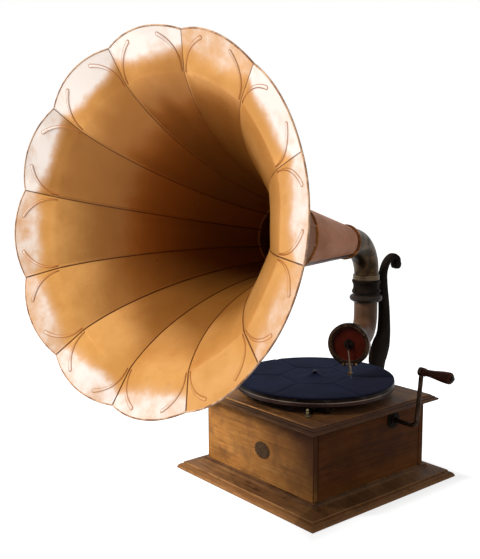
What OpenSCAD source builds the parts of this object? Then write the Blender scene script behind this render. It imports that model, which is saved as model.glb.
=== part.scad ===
// Horn gramophone. A spring motor in a square wooden case turns a felted platter. A soundbox on a
// swinging tonearm plays into a flared horn of petals, carried at the back on a cast bracket.
// The origin is the centre of the base's underside. +Z is up, the front faces -Y and the crank
// is on the +X side.

/* [Case] */
// Outside width of the square case
case_w = 242; // [240:1:248]
// Thickness of the case panels
panel_t = 10; // [8:0.5:11]
// Height of the case panels
panel_h = 116; // [108:0.5:130]
// Width of the square base board
base_w = 316; // [308:1:322]
// Thickness of the base board
base_t = 9.2; // [8:0.1:14]
// Height of the sloping moulding round the foot of the case
slope_h = 12.3; // [10:0.1:15]
// Width of the sloping moulding
slope_w = 29; // [24:0.5:31]
// Width of the square top board at its moulded edge
top_w = 275; // [268:1:284]
// Thickness of the top board
top_t = 9.1; // [8:0.1:14]
// Width of the sloping moulding round the top board
top_slope = 9; // [6:0.5:12]
// Side of the blocks glued into the case's corners
block_w = 16; // [10:1:20]

/* [Turntable] */
// Radius of the platter
platter_r = 125; // [118:1:127]
// Gap between the top board and the platter's rim
platter_gap = 11.2; // [9:0.1:20]
// Height of the platter's rim
rim_h = 12.5; // [8:0.5:16]
// Thickness of the platter's rim
rim_t = 3.5; // [2:0.5:6]
// Thickness of the platter's web
web_t = 3; // [2:0.5:5]
// Radius of the platter's hub
hub_r = 14; // [11:1:20]
// Thickness of the felt
felt_t = 2; // [1:0.5:4]
// Radius of the spindle below the platter
spindle_r = 4; // [3.6:0.1:4.2]
// Radius of the record pin on top of the spindle
record_pin_r = 3.6; // [3:0.1:3.6]
// Height of the record pin above the felt
record_pin_h = 9; // [6:0.5:10]

/* [Brake and speed] */
// Distance of the brake's pivot from the spindle, to the right and to the front
brake_pivot = 70; // [66:1:74]
// Length of the brake lever from its pivot to its knob
brake_reach = 34.5; // [30:0.5:36]
// Radius of the brake pad
pad_r = 4; // [3:0.5:5]
// Gap between the brake pad and the rim when the brake is off
brake_gap = 3; // [2:0.5:4]
// Radius of the speed knob
speed_knob_r = 7.5; // [5:0.5:9]
// Distance of the speed knob from the case's left side
speed_x = 22; // [21:0.5:24]
// Distance of the speed knob from the case's front
speed_y = 31; // [27:0.5:33]

/* [Crank] */
// Distance of the crank's axis behind the spindle
crank_back = 48; // [46:0.5:52]
// Depth of the crank's axis below the top of the board
crank_drop = 26.3; // [25:0.1:30]
// Distance of the crank's arm from the middle of the case
crank_x = 165; // [162:1:180]
// Length of the crank's arm
crank_len = 82.5; // [70:0.5:88]
// Lean of the crank's arm to the back
crank_lean = 6.3; // [0:0.1:30]
// Radius of the crank's shaft
crank_r = 4; // [3.5:0.1:5]
// Radius of the crank's bent rod
rod_r = 3.4; // [3:0.1:4]
// Radius of the crank's bend
rod_bend = 10; // [7:0.5:14]
// Length of the wooden grip
grip_len = 50; // [40:1:60]
// Radius of the grip at its thick end
grip_r = 8.8; // [7:0.1:11]

/* [Motor] */
// Module of the running gears' first pair
train_mod = 1.25; // [1.25:0.01:1.27]
// Teeth of the great wheel on the spring barrel
great_teeth = 56; // [56:1:57]
// Teeth of the intermediate pinion
pinion_teeth = 12; // [12:1:13]
// Teeth of the crown wheel
crown_teeth = 48; // [48:1:49]
// Teeth of the worm wheel on the spindle
worm_teeth = 30; // [30:1:31]
// Teeth of the crank's pinion
crank_teeth = 12; // [12:1:13]
// Teeth of the winding gear
winding_teeth = 36; // [36:1:37]
// Module of the winding gears
winding_mod = 1.6; // [1.6:0.01:1.62]
// Radius of the spring barrel
barrel_r = 28; // [24:0.5:29]
// Length of the spring barrel
barrel_len = 31; // [26:0.5:33]
// Radius of the winding arbor
arbor_r = 5; // [4:0.1:5.5]
// Thickness of the motor's plates
plate_t = 3; // [2:0.1:4]
// Play between the flanks of two gears
gear_play = 0.3; // [0.25:0.01:0.35]

/* [Bracket and tonearm] */
// Distance of the collar's axis in front of the case's back
collar_in = 4.2; // [2:0.1:6]
// Height of the collar's underside above the top board
collar_rise = 146.4; // [140:0.1:152]
// Height of the collar
collar_h = 22.3; // [20:0.1:26]
// Radius of the collar
collar_r = 23.3; // [22.6:0.1:25]
// Thickness of the bracket from side to side
bracket_t = 14; // [10:0.5:18]
// Width of the bracket's foot
foot_w = 50; // [40:1:60]
// Height of the bracket's foot
foot_h = 60; // [50:1:64]
// Thickness of the bracket's foot
foot_t = 6; // [4:0.5:8]
// Radius of the tonearm's tube
tube_r = 19.2; // [17:0.1:19.6]
// Wall of the tonearm's tube
tube_wall = 1.5; // [1:0.1:2]
// Radius of the tonearm's flange
flange_r = 26.8; // [23:0.1:28]
// Height of the tonearm's flange
flange_h = 11.8; // [8:0.1:14]
// Gap between the tonearm's flange and the collar
flange_gap = 2.4; // [1:0.1:3]
// Radius of the tonearm's bend
arm_bend = 30; // [26:0.5:36]
// Distance from the tonearm's axis to the middle of the soundbox
arm_reach = 101; // [98:0.5:106]
// Turn of the tonearm to the right of the front at rest
arm_yaw = 27; // [15:0.5:35]
// Radius of the tonearm's end
arm_end_r = 13; // [11:0.5:14]

/* [Soundbox] */
// Radius of the soundbox
sound_r = 33.5; // [30:0.5:35]
// Thickness of the soundbox's body
sound_t = 15; // [12:0.5:18]
// Radius of the opening over the diaphragm
window_r = 27; // [24:0.5:28]
// Distance from the soundbox's middle to the needle's tip
needle_reach = 53.5; // [52:0.1:56]
// Gap between the needle and the felt at its lowest
needle_gap = 0.5; // [0.4:0.1:3]
// Lean of the soundbox about its own axis
sound_roll = 6.7; // [0:0.1:12]
// Radius of the needle
needle_r = 0.7; // [0.5:0.1:1]

/* [Horn] */
// Height of the horn's axis above the collar
horn_rise = 58.5; // [56:0.5:66]
// Turn of the horn to the right of the front
horn_yaw = 13.5; // [0:0.1:30]
// Tilt of the horn upwards
horn_pitch = 7.6; // [4:0.1:12]
// Number of petals
petals = 12; // [12:1:12]
// Turn of the first seam about the horn's axis
seam_turn = 21.5; // [0:0.5:29]
// Radius of the mouth at a seam
mouth_r = 215.5; // [190:0.5:222]
// Distance of the mouth from the bend's corner along the axis
mouth_s = 527; // [505:1:535]
// Distance of the petals' narrow ends from the bend's corner
throat_s = 237; // [230:1:245]
// Radius of the horn where the petals start
throat_r = 47.8; // [45:0.1:52]
// Distance of the cone's narrow end from the bend's corner
cone_s = 69; // [66:0.5:74]
// Radius of the cone's narrow end
cone_r = 24.4; // [23.6:0.1:26]
// Thickness of the horn's sheet metal
sheet_t = 0.8; // [0.6:0.1:1.2]
// How far the middle of a petal reaches past its seams at the rim
scallop = 7; // [2:0.5:12]
// How far the middle of a petal lies inside the arc between its seams near the rim
petal_flat = 5; // [0:0.5:7]
// Radius of the wired edge round the mouth
wire_r = 1.6; // [1.2:0.1:2.2]
// Width of the folded seam on the outside
fold_w = 4; // [2.5:0.5:6]
// Height of the folded seam
fold_h = 1.2; // [0.6:0.1:2]
// Radius of the elbow at the collar
elbow_r = 19.9; // [17:0.1:20.2]
// Radius of the elbow's bend
elbow_bend = 56; // [50:0.5:60]

/* [Hidden] */
function petal_name(i) = str("horn_petal_", i < 10 ? "0" : "", i);

// Facets of round shapes
$fn = 64;
// Radial clearance of a shaft in its bore
fit = 0.05;
// Gap between pieces that move past each other
run = 0.4;
// A little more than nothing, where one cut must pass another's face
over = 0.1;
// Pressure angle of the gear teeth
pressure = 20;

half = case_w / 2;
case_z = base_t + panel_h;
top_z = case_z + top_t;
rim_z = top_z + platter_gap;
felt_z = rim_z + rim_h;
play_z = felt_z + felt_t;

collar_y = half - collar_in;
collar_z = top_z + collar_rise;
collar_top = collar_z + collar_h;
neck_r = tube_r - 0.8;
// Height of the case's top above the bracket's foot
foot_below = 8;
// Height in the collar where the elbow's spigot starts
spigot_z = collar_z + collar_h * 0.45;
flange_z = collar_z - flange_gap - flange_h;
arm_z = play_z + needle_gap + needle_reach;

horn_z = collar_top + horn_rise;
bend_angle = 90 - horn_pitch;
bend_run = elbow_bend * tan(bend_angle / 2);
petal_angle = 360 / petals;
cone_slope = (throat_r - cone_r) / (throat_s - cone_s);
// Pull of the flare's curve at the throat and at the mouth, as shares of its length and radius
flare_pull = (mouth_s - throat_s) * 0.518;
mouth_pull = [(mouth_s - throat_s) * 0.031, (mouth_r - throat_r) * 0.439];
flare = [
    [throat_s, throat_r],
    [throat_s + flare_pull, throat_r + flare_pull * cone_slope],
    [mouth_s - mouth_pull[0], mouth_r - mouth_pull[1]],
    [mouth_s, mouth_r]];

crank_y = crank_back;
crank_z = top_z - crank_drop;
grip_start = crank_x + 4;

winding_gap = (crank_teeth + winding_teeth) * winding_mod / 2;
train_gap = (great_teeth + pinion_teeth) * train_mod / 2;
barrel_y = crank_y - 12;
barrel_z = crank_z - sqrt(pow(winding_gap, 2) - pow(crank_y - barrel_y, 2));
inter_y = 0;
inter_z = barrel_z - sqrt(pow(train_gap, 2) - pow(barrel_y, 2));
train_turn = atan2(inter_z - barrel_z, inter_y - barrel_y);
winding_turn = atan2(barrel_z - crank_z, barrel_y - crank_y);
crown_mod = 1;
crown_r = crown_teeth * crown_mod / 2;
leaf_r = pinion_teeth * crown_mod / 2;
leaf_root = leaf_r - 1.2 * crown_mod;
leaf_tip = leaf_r + 0.85 * crown_mod;
great_x = 9;
barrel_x = great_x + 3;
inter_r = 3;

bed_z = case_z - plate_t;
// Reach of the bed plate to the front and to the back
bed_front = 58;
bed_back = 78;
// Reach of the side plates to the front, and their length
side_front = 32;
side_len = 110;
// Reach of the side plates below the intermediate arbor
side_drop = 20;
// Radius of the pillars between the side plates
pillar_r = 4;
// Width and thickness of the bars that carry the spindle's foot
foot_bar = 6;
// Depth of the foot bearing's underside below the crown wheel's edge
foot_drop = 16;
// Reach of these bars to the front of the spindle
bar_front = 40;
// More than the length of any bore through the motor
bore_len = 400;
plate_left = -40;
plate_right = barrel_x + barrel_len + 6;
gear_x = plate_right + plate_t + 2;
gear_w = 4;
ratchet_x = gear_x + gear_w + 1;
ratchet_w = 2.5;
ratchet_r = 13;
ratchet_root = 11;
ratchet_teeth = 24;
arbor_end = ratchet_x + ratchet_w + 2;
click_turn = 200;
click_far = winding_gear_tip() + 4.5;
click_spot = [barrel_y + click_far * cos(click_turn), barrel_z + click_far * sin(click_turn)];
stud_r = 2;
// How far the pawl is lifted off the ratchet wheel as the motor stands
click_lift = 12;
pillars = [[barrel_y + 34, barrel_z - 35], [barrel_y + 32, crank_z + 6], [-26, inter_z + 28]];

worm_mod = 1;
worm_wheel_r = worm_teeth * worm_mod / 2;
worm_pitch = PI * worm_mod;
worm_core = 3;
worm_throw = 0.9;
worm_z = bed_z - 16.2;
worm_wheel_t = 4;
gov_x = -(worm_wheel_r + 0.85 * worm_mod + worm_core - worm_throw + run);
gov_y0 = -54;
gov_y1 = 16;
gov_disc_y = -44;
gov_disc_r = 13.5;
gov_ball_r = 2.8;
// Spots on the shaft between which the governor's springs are held
gov_spring_y = [gov_disc_y + 5, -14];
speed_at = [speed_x - half, speed_y - half];
// Gap between the speed pad and the governor's disc with the knob turned to fast
speed_gap = 2.5;
speed_pad_at = [gov_x - 10, gov_disc_y - speed_gap - 2.1];

brake_at = [brake_pivot, -brake_pivot];
rim_in = platter_r - rim_t;
brake_pad_at = (rim_in - pad_r - brake_gap) * [cos(-35), sin(-35)];
brake_knob_turn = -60.5;
brake_z = top_z + 1;

function winding_gear_tip() = winding_teeth * winding_mod / 2 + 0.85 * winding_mod;
function smooth(t) = t * t * (3 - 2 * t);
function bezier(p, t) =
    pow(1 - t, 3) * p[0] + 3 * pow(1 - t, 2) * t * p[1] + 3 * (1 - t) * t * t * p[2] + pow(t, 3) * p[3];
function bezier_way(p, t) =
    let (d = pow(1 - t, 2) * (p[1] - p[0]) + 2 * (1 - t) * t * (p[2] - p[1]) + t * t * (p[3] - p[2]))
    d / norm(d);
// Curve through points a to d, between b and c
function between(a, b, c, d, t) =
    0.5 * (2 * b + (c - a) * t + (2 * a - 5 * b + 4 * c - d) * t * t + (3 * b - a - 3 * c + d) * pow(t, 3));

// Involute function of an angle, in degrees
function involute(angle) = tan(angle) * 180 / PI - angle;
// Half the angle that a tooth takes up at radius r
function tooth_half(teeth, mod, r) =
    let (pitch_r = teeth * mod / 2)
    90 / teeth + involute(pressure) - involute(acos(min(1, pitch_r * cos(pressure) / r)))
    - gear_play / pitch_r * 90 / PI;
// Outline of a spur gear with one tooth centred on +X
function gear_outline(teeth, mod) =
    let (pitch_r = teeth * mod / 2, root = pitch_r - 1.2 * mod, tip = pitch_r + 0.85 * mod)
    [for (i = [0 : teeth - 1])
        for (p = [[root, -1], [pitch_r, -1], [tip, -1], [tip, 1], [pitch_r, 1], [root, 1]])
            let (a = i * 360 / teeth + p[1] * tooth_half(teeth, mod, p[0]))
            [p[0] * cos(a), p[0] * sin(a)]];

module gear(teeth, mod, width) {
    linear_extrude(width) polygon(gear_outline(teeth, mod));
}

// Places a shape drawn round Z on an axis along X, so its x is the world's y and its y the world's z
module along_x(x, y, z) {
    translate([x, y, z]) rotate([90, 0, 90]) children();
}

module tube(r_out, r_in, h) {
    difference() {
        cylinder(r = r_out, h = h);
        translate([0, 0, -over]) cylinder(r = r_in, h = h + 2 * over);
    }
}

// One side of a square frame, mitred at both ends: section points are [outwards, up]
module mitred_side(section, reach, height) {
    intersection() {
        rotate([90, 0, 0]) translate([0, 0, -reach]) linear_extrude(2 * reach) polygon(section);
        translate([0, 0, -over]) linear_extrude(height + 2 * over)
            polygon([[0, 0], [reach, -reach], [reach, reach]]);
    }
}

module square_frame(section, reach, height) {
    for (turn = [0 : 90 : 270]) rotate([0, 0, turn]) mitred_side(section, reach, height);
}

// Case

module base_board() {
    out = base_w / 2;
    top = half + slope_w - 1;
    edge = [[out - 1, 0], [out, 1.2], [out - 0.3, 3], [out - 1.6, 5.2], [out - 4, 7.2], [top, base_t]];
    section = concat(edge, [for (i = [len(edge) - 1 : -1 : 0]) [-edge[i][0], edge[i][1]]]);
    color("#7a5530") intersection_for(turn = [0, 90])
        rotate([90, 0, turn]) translate([0, 0, -out]) linear_extrude(2 * out) polygon(section);
}

// Long slope from the board's edge up to a bead at the foot of the case
module base_moulding() {
    out = half + slope_w;
    bead = 2.4;
    bead_at = half + 3;
    section = concat(
        [[half, 0], [out - 0.6, 0], [out, 0.6], [out, 1.3], [out - 0.8, 2], [bead_at + 3.2, slope_h - 4.4]],
        [for (a = [0 : 30 : 90]) [bead_at + bead * cos(a), slope_h - 3.2 + bead * sin(a)]],
        [[half + 1.4, slope_h - 0.6], [half, slope_h]]);
    color("#6f4c2a") translate([0, 0, base_t]) square_frame(section, out, slope_h);
}

module wide_panel(side) {
    translate([-half, side > 0 ? half - panel_t : -half, base_t]) cube([case_w, panel_t, panel_h]);
}

module side_panel(side) {
    translate([side > 0 ? half - panel_t : -half, -half + panel_t, base_t])
        cube([panel_t, case_w - 2 * panel_t, panel_h]);
}

module front_panel() {
    color("#9a6a35") wide_panel(-1);
}

module back_panel() {
    color("#6a4626") difference() {
        wide_panel(1);
        bracket_screw_spots() translate([0, 0, -foot_t - 9]) cylinder(r = 1.8 + fit, h = 9 + over);
    }
}

module left_panel() {
    color("#6a4626") side_panel(-1);
}

module right_panel() {
    color("#5c3a1e") difference() {
        side_panel(1);
        along_x(half - panel_t - over, crank_y, crank_z) cylinder(r = crank_r + 3, h = panel_t + 2 * over);
    }
}

module corner_blocks() {
    inner = half - panel_t;
    color("#8a6a44") for (turn = [0 : 90 : 270]) rotate([0, 0, turn]) translate([inner, inner, base_t])
        linear_extrude(panel_h - 6) polygon([[0, 0], [-block_w, 0], [0, -block_w]]);
}

module board_screw_spots() {
    for (x = [plate_left + 6, plate_right - 4]) for (y = [-46, 64]) translate([x, y, 0]) children();
}

module top_board() {
    edge = top_w / 2;
    flat = edge - top_slope;
    section = concat(
        [[0, 0], [edge, 0], [edge, 1.4]],
        [for (a = [0 : 22.5 : 90]) [edge - 3.2 + 2.2 * cos(a), 1.6 + 2.2 * sin(a)]],
        [for (a = [0 : 22.5 : 67.5]) [edge - 6 + 1.6 * cos(a), 4.2 + 2 * sin(a)]],
        [[flat, top_t - 1.2], [flat, top_t], [0, top_t]]);
    color("#7a4f2a") difference() {
        translate([0, 0, case_z]) square_frame(section, edge, top_t);
        translate([0, 0, case_z - over]) cylinder(r = spindle_r + 4, h = top_t + 2 * over);
        translate([speed_at[0], speed_at[1], case_z - over]) cylinder(r = 2.5 + fit, h = top_t + 2 * over);
        translate([brake_at[0], brake_at[1], case_z + 2]) cylinder(r = 2, h = top_t);
        translate([0, 0, case_z - over]) board_screw_spots() cylinder(r = 2, h = 6 + over);
    }
}

// Four bolts that hang the motor from the top board, and the brake's pivot screw
module board_screws() {
    color("#b8a070") {
        board_screw_spots() translate([0, 0, bed_z - 2.5]) {
            cylinder(r = 4, h = 2.5);
            cylinder(r = 2, h = plate_t + 2.5 + 5.5);
        }
        translate([brake_at[0], brake_at[1], case_z + 2.5]) {
            cylinder(r = 2, h = brake_z + 2 + run - case_z - 2.5);
            translate([0, 0, brake_z + 2 + run - case_z - 2.5]) cylinder(r = 4, h = 1.6);
        }
        translate([brake_at[0], brake_at[1], top_z]) tube(4, 2, brake_z - run - top_z);
    }
}

// Turntable

module spindle_bush() {
    color("#b08d4c") translate([0, 0, case_z]) {
        tube(spindle_r + 4, spindle_r + fit, top_t);
        translate([0, 0, top_t]) tube(spindle_r + 8, spindle_r + fit, 2);
    }
}

module platter() {
    color("#6b5d52") difference() {
        rotate_extrude($fn = 128) polygon(concat(
            [[spindle_r + fit, felt_z], [spindle_r + fit, rim_z - 3], [hub_r - 3, rim_z - 3],
             [hub_r, rim_z], [hub_r, felt_z - web_t], [rim_in - 4, felt_z - web_t],
             [rim_in, felt_z - web_t - 3], [rim_in, rim_z]],
            [for (a = [-90 : 22.5 : 0]) [platter_r - 1.8 + 1.2 * cos(a), rim_z + 1.4 + 1.4 * sin(a)]],
            [[platter_r, felt_z - 2.4], [platter_r - 0.5, felt_z - 0.6], [platter_r - 1.2, felt_z]]));
        rotate([90, 0, 0]) translate([0, rim_z - 0.5, -hub_r - 1]) cylinder(r = 1.5, h = 2 * hub_r + 2);
    }
}

module felt_mat() {
    color("#1d2540") translate([0, 0, felt_z]) tube(platter_r - 0.6, spindle_r + 0.4, felt_t);
}

// Spindle with the leaves of its lower pinion, a cross pin under the platter and the record pin
module spindle() {
    foot = inter_z + crown_r - foot_drop + 2;
    color("#9a8f80") {
        translate([0, 0, foot]) cylinder(r = spindle_r, h = play_z - foot);
        translate([0, 0, play_z]) cylinder(r = record_pin_r, h = record_pin_h - 2);
        translate([0, 0, play_z + record_pin_h - 2]) cylinder(r1 = record_pin_r, r2 = 1.6, h = 2);
        translate([0, 0, inter_z + crown_r - 3]) rotate([0, 0, 180 + 180 / pinion_teeth])
            gear(pinion_teeth, crown_mod, 6);
        rotate([90, 0, 0]) translate([0, rim_z - 0.5, -hub_r + 1]) cylinder(r = 1.4, h = 2 * hub_r - 2);
    }
}

module worm_wheel() {
    color("#b08d4c") translate([0, 0, worm_z - worm_wheel_t / 2]) rotate([0, 0, 180]) difference() {
        union() {
            gear(worm_teeth, worm_mod, worm_wheel_t);
            translate([0, 0, -2]) cylinder(r = 8, h = worm_wheel_t + 4);
        }
        translate([0, 0, -3]) cylinder(r = spindle_r + fit, h = worm_wheel_t + 6);
    }
}

// Brake and speed

module bar_between(a, b, w, h) {
    d = b - a;
    translate([a[0], a[1], 0]) rotate([0, 0, atan2(d[1], d[0])]) translate([0, -w / 2, 0])
        cube([norm(d), w, h]);
}

// Bell crank with a knob of two balls on its outer arm and the pad's post on its inner arm
module brake_lever() {
    knob = brake_at + brake_reach * [cos(brake_knob_turn), sin(brake_knob_turn)];
    color("#a98b4a") translate([0, 0, brake_z]) {
        difference() {
            union() {
                translate([brake_at[0], brake_at[1], 0]) cylinder(r = 6, h = 2);
                bar_between(brake_at, knob, 6.4, 1.6);
                bar_between(brake_at, brake_pad_at, 6.4, 1.8);
            }
            translate([brake_at[0], brake_at[1], -over]) cylinder(r = 2 + fit, h = 3);
        }
        translate([knob[0], knob[1], 0]) rotate_extrude() polygon(concat(
            [[0, 0], [4.2, 0], [4.2, 2], [1.4, 2.2], [1.2, 2.8]],
            [for (a = [-60 : 20 : 60]) [2.6 * cos(a), 5 + 2.6 * sin(a)]],
            [for (a = [-50 : 20 : 70]) [2.2 * cos(a), 9 + 2.2 * sin(a)]],
            [[0, 11.2]]));
        translate([brake_pad_at[0], brake_pad_at[1], 0]) rotate_extrude() polygon([
            [0, 0], [4.4, 0], [4.4, 2], [2, 2], [2, rim_z + 4 - brake_z], [0, rim_z + 4 - brake_z]]);
    }
}

module brake_pad() {
    color("#4a3020") translate([brake_pad_at[0], brake_pad_at[1], rim_z - 1]) difference() {
        cylinder(r = pad_r, h = 5);
        translate([0, 0, -over]) cylinder(r = 2, h = 5.2);
    }
}

// Knob and pointer on the board, a shaft through it, and an arm to the governor inside
module speed_knob() {
    arm_to = [speed_pad_at[0], speed_pad_at[1] - 2];
    color("#b9b2a4") {
        translate([speed_at[0], speed_at[1], 0]) {
            translate([0, 0, worm_z - 2]) cylinder(r = 2.5, h = top_z + 4 - worm_z);
            translate([0, 0, top_z + run]) cylinder(r = speed_knob_r, h = 3.5);
            translate([0, 0, top_z + 3]) cylinder(r1 = speed_knob_r, r2 = speed_knob_r - 2, h = 2.5);
            translate([0, -1.2, top_z + run]) cube([speed_knob_r + 5, 2.4, 1.6]);
        }
        translate([0, 0, worm_z - 2]) bar_between(speed_at, arm_to, 4, 3);
        translate([arm_to[0] - 3, arm_to[1] - 2, worm_z - 3]) cube([6, 4, 5]);
    }
}

module speed_pad() {
    color("#4a3020") translate([speed_pad_at[0], speed_pad_at[1], worm_z - 0.5]) rotate([-90, 0, 0])
        cylinder(r = 2, h = gov_disc_y - speed_gap - speed_pad_at[1]);
}

// Crank

module crank_escutcheon() {
    color("#3a2a1c") {
        along_x(half - panel_t, crank_y, crank_z) tube(crank_r + 3, crank_r + fit, panel_t);
        along_x(half, crank_y, crank_z) tube(crank_r + 9, crank_r + fit, 1.6);
        along_x(half + 1.6, crank_y, crank_z) tube(crank_r + 4, crank_r + fit, 2);
    }
}

module at_crank() {
    translate([0, crank_y, crank_z]) rotate([-crank_lean, 0, 0]) children();
}

module crank_rod() {
    color("#2d221b") at_crank() {
        rotate([0, 90, 0]) translate([0, 0, plate_right - 1])
            cylinder(r = crank_r, h = half + 12 - plate_right);
        rotate([0, 90, 0]) translate([0, 0, half + 10]) cylinder(r = rod_r, h = crank_x - rod_bend - half - 10);
        translate([crank_x - rod_bend, 0, rod_bend]) rotate([90, 0, 0]) rotate([0, 0, -90])
            rotate_extrude(angle = 90) translate([rod_bend, 0]) circle(r = rod_r);
        translate([crank_x, 0, rod_bend]) cylinder(r = rod_r, h = crank_len - rod_bend - 5);
        difference() {
            translate([crank_x - 3, 0, crank_len]) rotate([0, 90, 0]) cylinder(r = 6.5, h = 6);
            translate([crank_x - 4, 0, crank_len]) rotate([0, 90, 0]) cylinder(r = 2.5, h = 8);
        }
    }
}

module crank_pinion() {
    color("#8f8574") translate([gear_x - 0.5, crank_y, crank_z]) rotate([90, 0, 90]) difference() {
        rotate([0, 0, winding_turn]) gear(crank_teeth, winding_mod, gear_w + 1);
        translate([0, 0, -over]) cylinder(r = crank_r + fit, h = gear_w + 2);
    }
}

module grip_pin() {
    color("#a89878") at_crank() translate([crank_x - 5, 0, crank_len]) rotate([0, 90, 0]) {
        cylinder(r1 = 3.4, r2 = 4, h = 2);
        cylinder(r = 2.5, h = grip_len + 11);
        translate([0, 0, grip_len + 9 + run]) cylinder(r1 = 4.2, r2 = 3, h = 2);
    }
}

module crank_grip() {
    color("#3b241a") at_crank() translate([grip_start, 0, crank_len]) rotate([0, 90, 0])
        rotate_extrude() polygon(concat(
            [[2.5 + fit, 0], [5.6, 0], [6.2, 0.8], [6.2, 2.6], [5.2, 3.4], [5.1, 5]],
            [for (t = [0.15 : 0.15 : 0.9]) [5.1 + (grip_r - 5.1) * smooth(t), 5 + (grip_len - 10) * t]],
            [for (a = [0 : 22.5 : 67.5]) [grip_r - 5 + 5 * cos(a), grip_len - 5 + 5 * sin(a)]],
            [[2.5 + fit, grip_len]]));
}

// Motor

module plate_bores() {
    along_x(-bore_len / 2, barrel_y, barrel_z) cylinder(r = arbor_r + fit, h = bore_len);
    along_x(-bore_len / 2, inter_y, inter_z) cylinder(r = inter_r + fit, h = bore_len);
    along_x(plate_right - 10, crank_y, crank_z) cylinder(r = crank_r + fit, h = 40);
}

// Bed plate with two side plates, three pillars, the spindle's foot bearing, the governor's
// bearings and the click's stud
module motor_frame() {
    low = inter_z - side_drop;
    foot_z = inter_z + crown_r - foot_drop;
    color("#77716a") {
        difference() {
            union() {
                translate([plate_left - plate_t - 1, -bed_front, bed_z])
                    cube([plate_right - plate_left + 2 * plate_t + 2, bed_front + bed_back, plate_t]);
                for (x = [plate_left - plate_t, plate_right])
                    translate([x, -side_front, low]) cube([plate_t, side_len, bed_z - low + over]);
                for (p = pillars) along_x(plate_left - over, p[0], p[1])
                    cylinder(r = pillar_r, h = plate_right - plate_left + 2 * over);
                translate([-leaf_root, -bar_front, foot_z])
                    cube([leaf_root + spindle_r + 3, foot_bar, bed_z - foot_z + over]);
                translate([-leaf_root, -bar_front, foot_z])
                    cube([leaf_root + spindle_r + 3, bar_front + foot_bar, foot_bar]);
                for (y = [gov_y0, gov_y1 - 4])
                    translate([gov_x - 4, y, worm_z - 5]) cube([8, 4, bed_z - worm_z + 5 + over]);
            }
            plate_bores();
            translate([0, 0, foot_z - over]) cylinder(r = spindle_r + fit, h = 8);
            translate([0, 0, bed_z - over]) cylinder(r = spindle_r + 5, h = plate_t + 1);
            translate([gov_x, gov_y0 - over, worm_z]) rotate([-90, 0, 0])
                cylinder(r = 1.5 + fit, h = gov_y1 - gov_y0 + 1);
            translate([0, 0, bed_z - over]) board_screw_spots() cylinder(r = 2, h = plate_t + 1);
        }
        along_x(plate_right + plate_t - over, click_spot[0], click_spot[1])
            cylinder(r = stud_r, h = ratchet_x + ratchet_w + 1 - plate_right - plate_t);
    }
}

module spring_barrel() {
    wall = 1.5;
    color("#a8987a") along_x(great_x, barrel_y, barrel_z) difference() {
        union() {
            rotate([0, 0, train_turn]) gear(great_teeth, train_mod, 3);
            translate([0, 0, 3 - over]) cylinder(r = barrel_r, h = barrel_len + over);
        }
        translate([0, 0, 5]) cylinder(r = barrel_r - wall, h = barrel_len - 4);
        translate([0, 0, -over]) cylinder(r = arbor_r + fit, h = barrel_len + 4);
    }
}

// Coiled strip from the arbor out to the barrel's wall
module mainspring() {
    turns = 8;
    steps = 20;
    strip = 0.6;
    inner = arbor_r + 0.9;
    outer = barrel_r - 2.1;
    last = turns * steps;
    function coil(side) = [for (i = [0 : last])
        let (r = inner + (outer - inner) * i / last + side * strip / 2, a = i * 360 / steps)
        [r * cos(a), r * sin(a)]];
    inside = coil(-1);
    color("#5a6470") along_x(great_x + 6, barrel_y, barrel_z) linear_extrude(barrel_len - 6)
        polygon(concat(coil(1), [for (i = [last : -1 : 0]) inside[i]]));
}

function ratchet_outline() = [for (i = [0 : ratchet_teeth - 1]) for (p = [[ratchet_r, 0], [ratchet_root, 0.94]])
    let (a = (i + p[1]) * 360 / ratchet_teeth) [p[0] * cos(a), p[0] * sin(a)]];

// Arbor through the barrel, with its ratchet wheel on the crank's side
module winding_arbor() {
    color("#8f8574") along_x(plate_left - plate_t, barrel_y, barrel_z) {
        cylinder(r = arbor_r, h = arbor_end - plate_left + plate_t);
        translate([0, 0, ratchet_x - plate_left + plate_t]) linear_extrude(ratchet_w) polygon(ratchet_outline());
    }
}

module winding_gear() {
    color("#b08d4c") along_x(gear_x, barrel_y, barrel_z) difference() {
        rotate([0, 0, winding_turn + 180 + 180 / winding_teeth]) gear(winding_teeth, winding_mod, gear_w);
        translate([0, 0, -over]) cylinder(r = arbor_r + fit, h = gear_w + 1);
        for (a = [30 : 60 : 330]) rotate([0, 0, a]) translate([17, 0, -over]) cylinder(r = 4.5, h = gear_w + 1);
    }
}

// Pawl on its stud, drawn with its nose in a notch of the ratchet wheel, then lifted off it
module ratchet_click() {
    pitch = 360 / ratchet_teeth;
    notch = (ratchet_root + 0.24) * [cos(16.93 * pitch), sin(16.93 * pitch)];
    nose = notch - [0.32, 0];
    stud = click_spot - [barrel_y, barrel_z];
    color("#8f8574") along_x(ratchet_x, barrel_y, barrel_z)
        translate([stud[0], stud[1], 0]) rotate([0, 0, -click_lift]) translate([-stud[0], -stud[1], 0])
        difference() {
            union() {
                translate([stud[0], stud[1], 0]) cylinder(r = 5, h = ratchet_w);
                linear_extrude(ratchet_w) polygon([
                    nose, nose - [0.25, 1.2], nose - [7, 3.2], stud - [0, 4.4], stud + [0, 4.4],
                    nose - [12, -0.6], nose - [4.4, 1]]);
            }
            translate([stud[0], stud[1], -over]) cylinder(r = stud_r + fit, h = ratchet_w + 1);
        }
}

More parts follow.
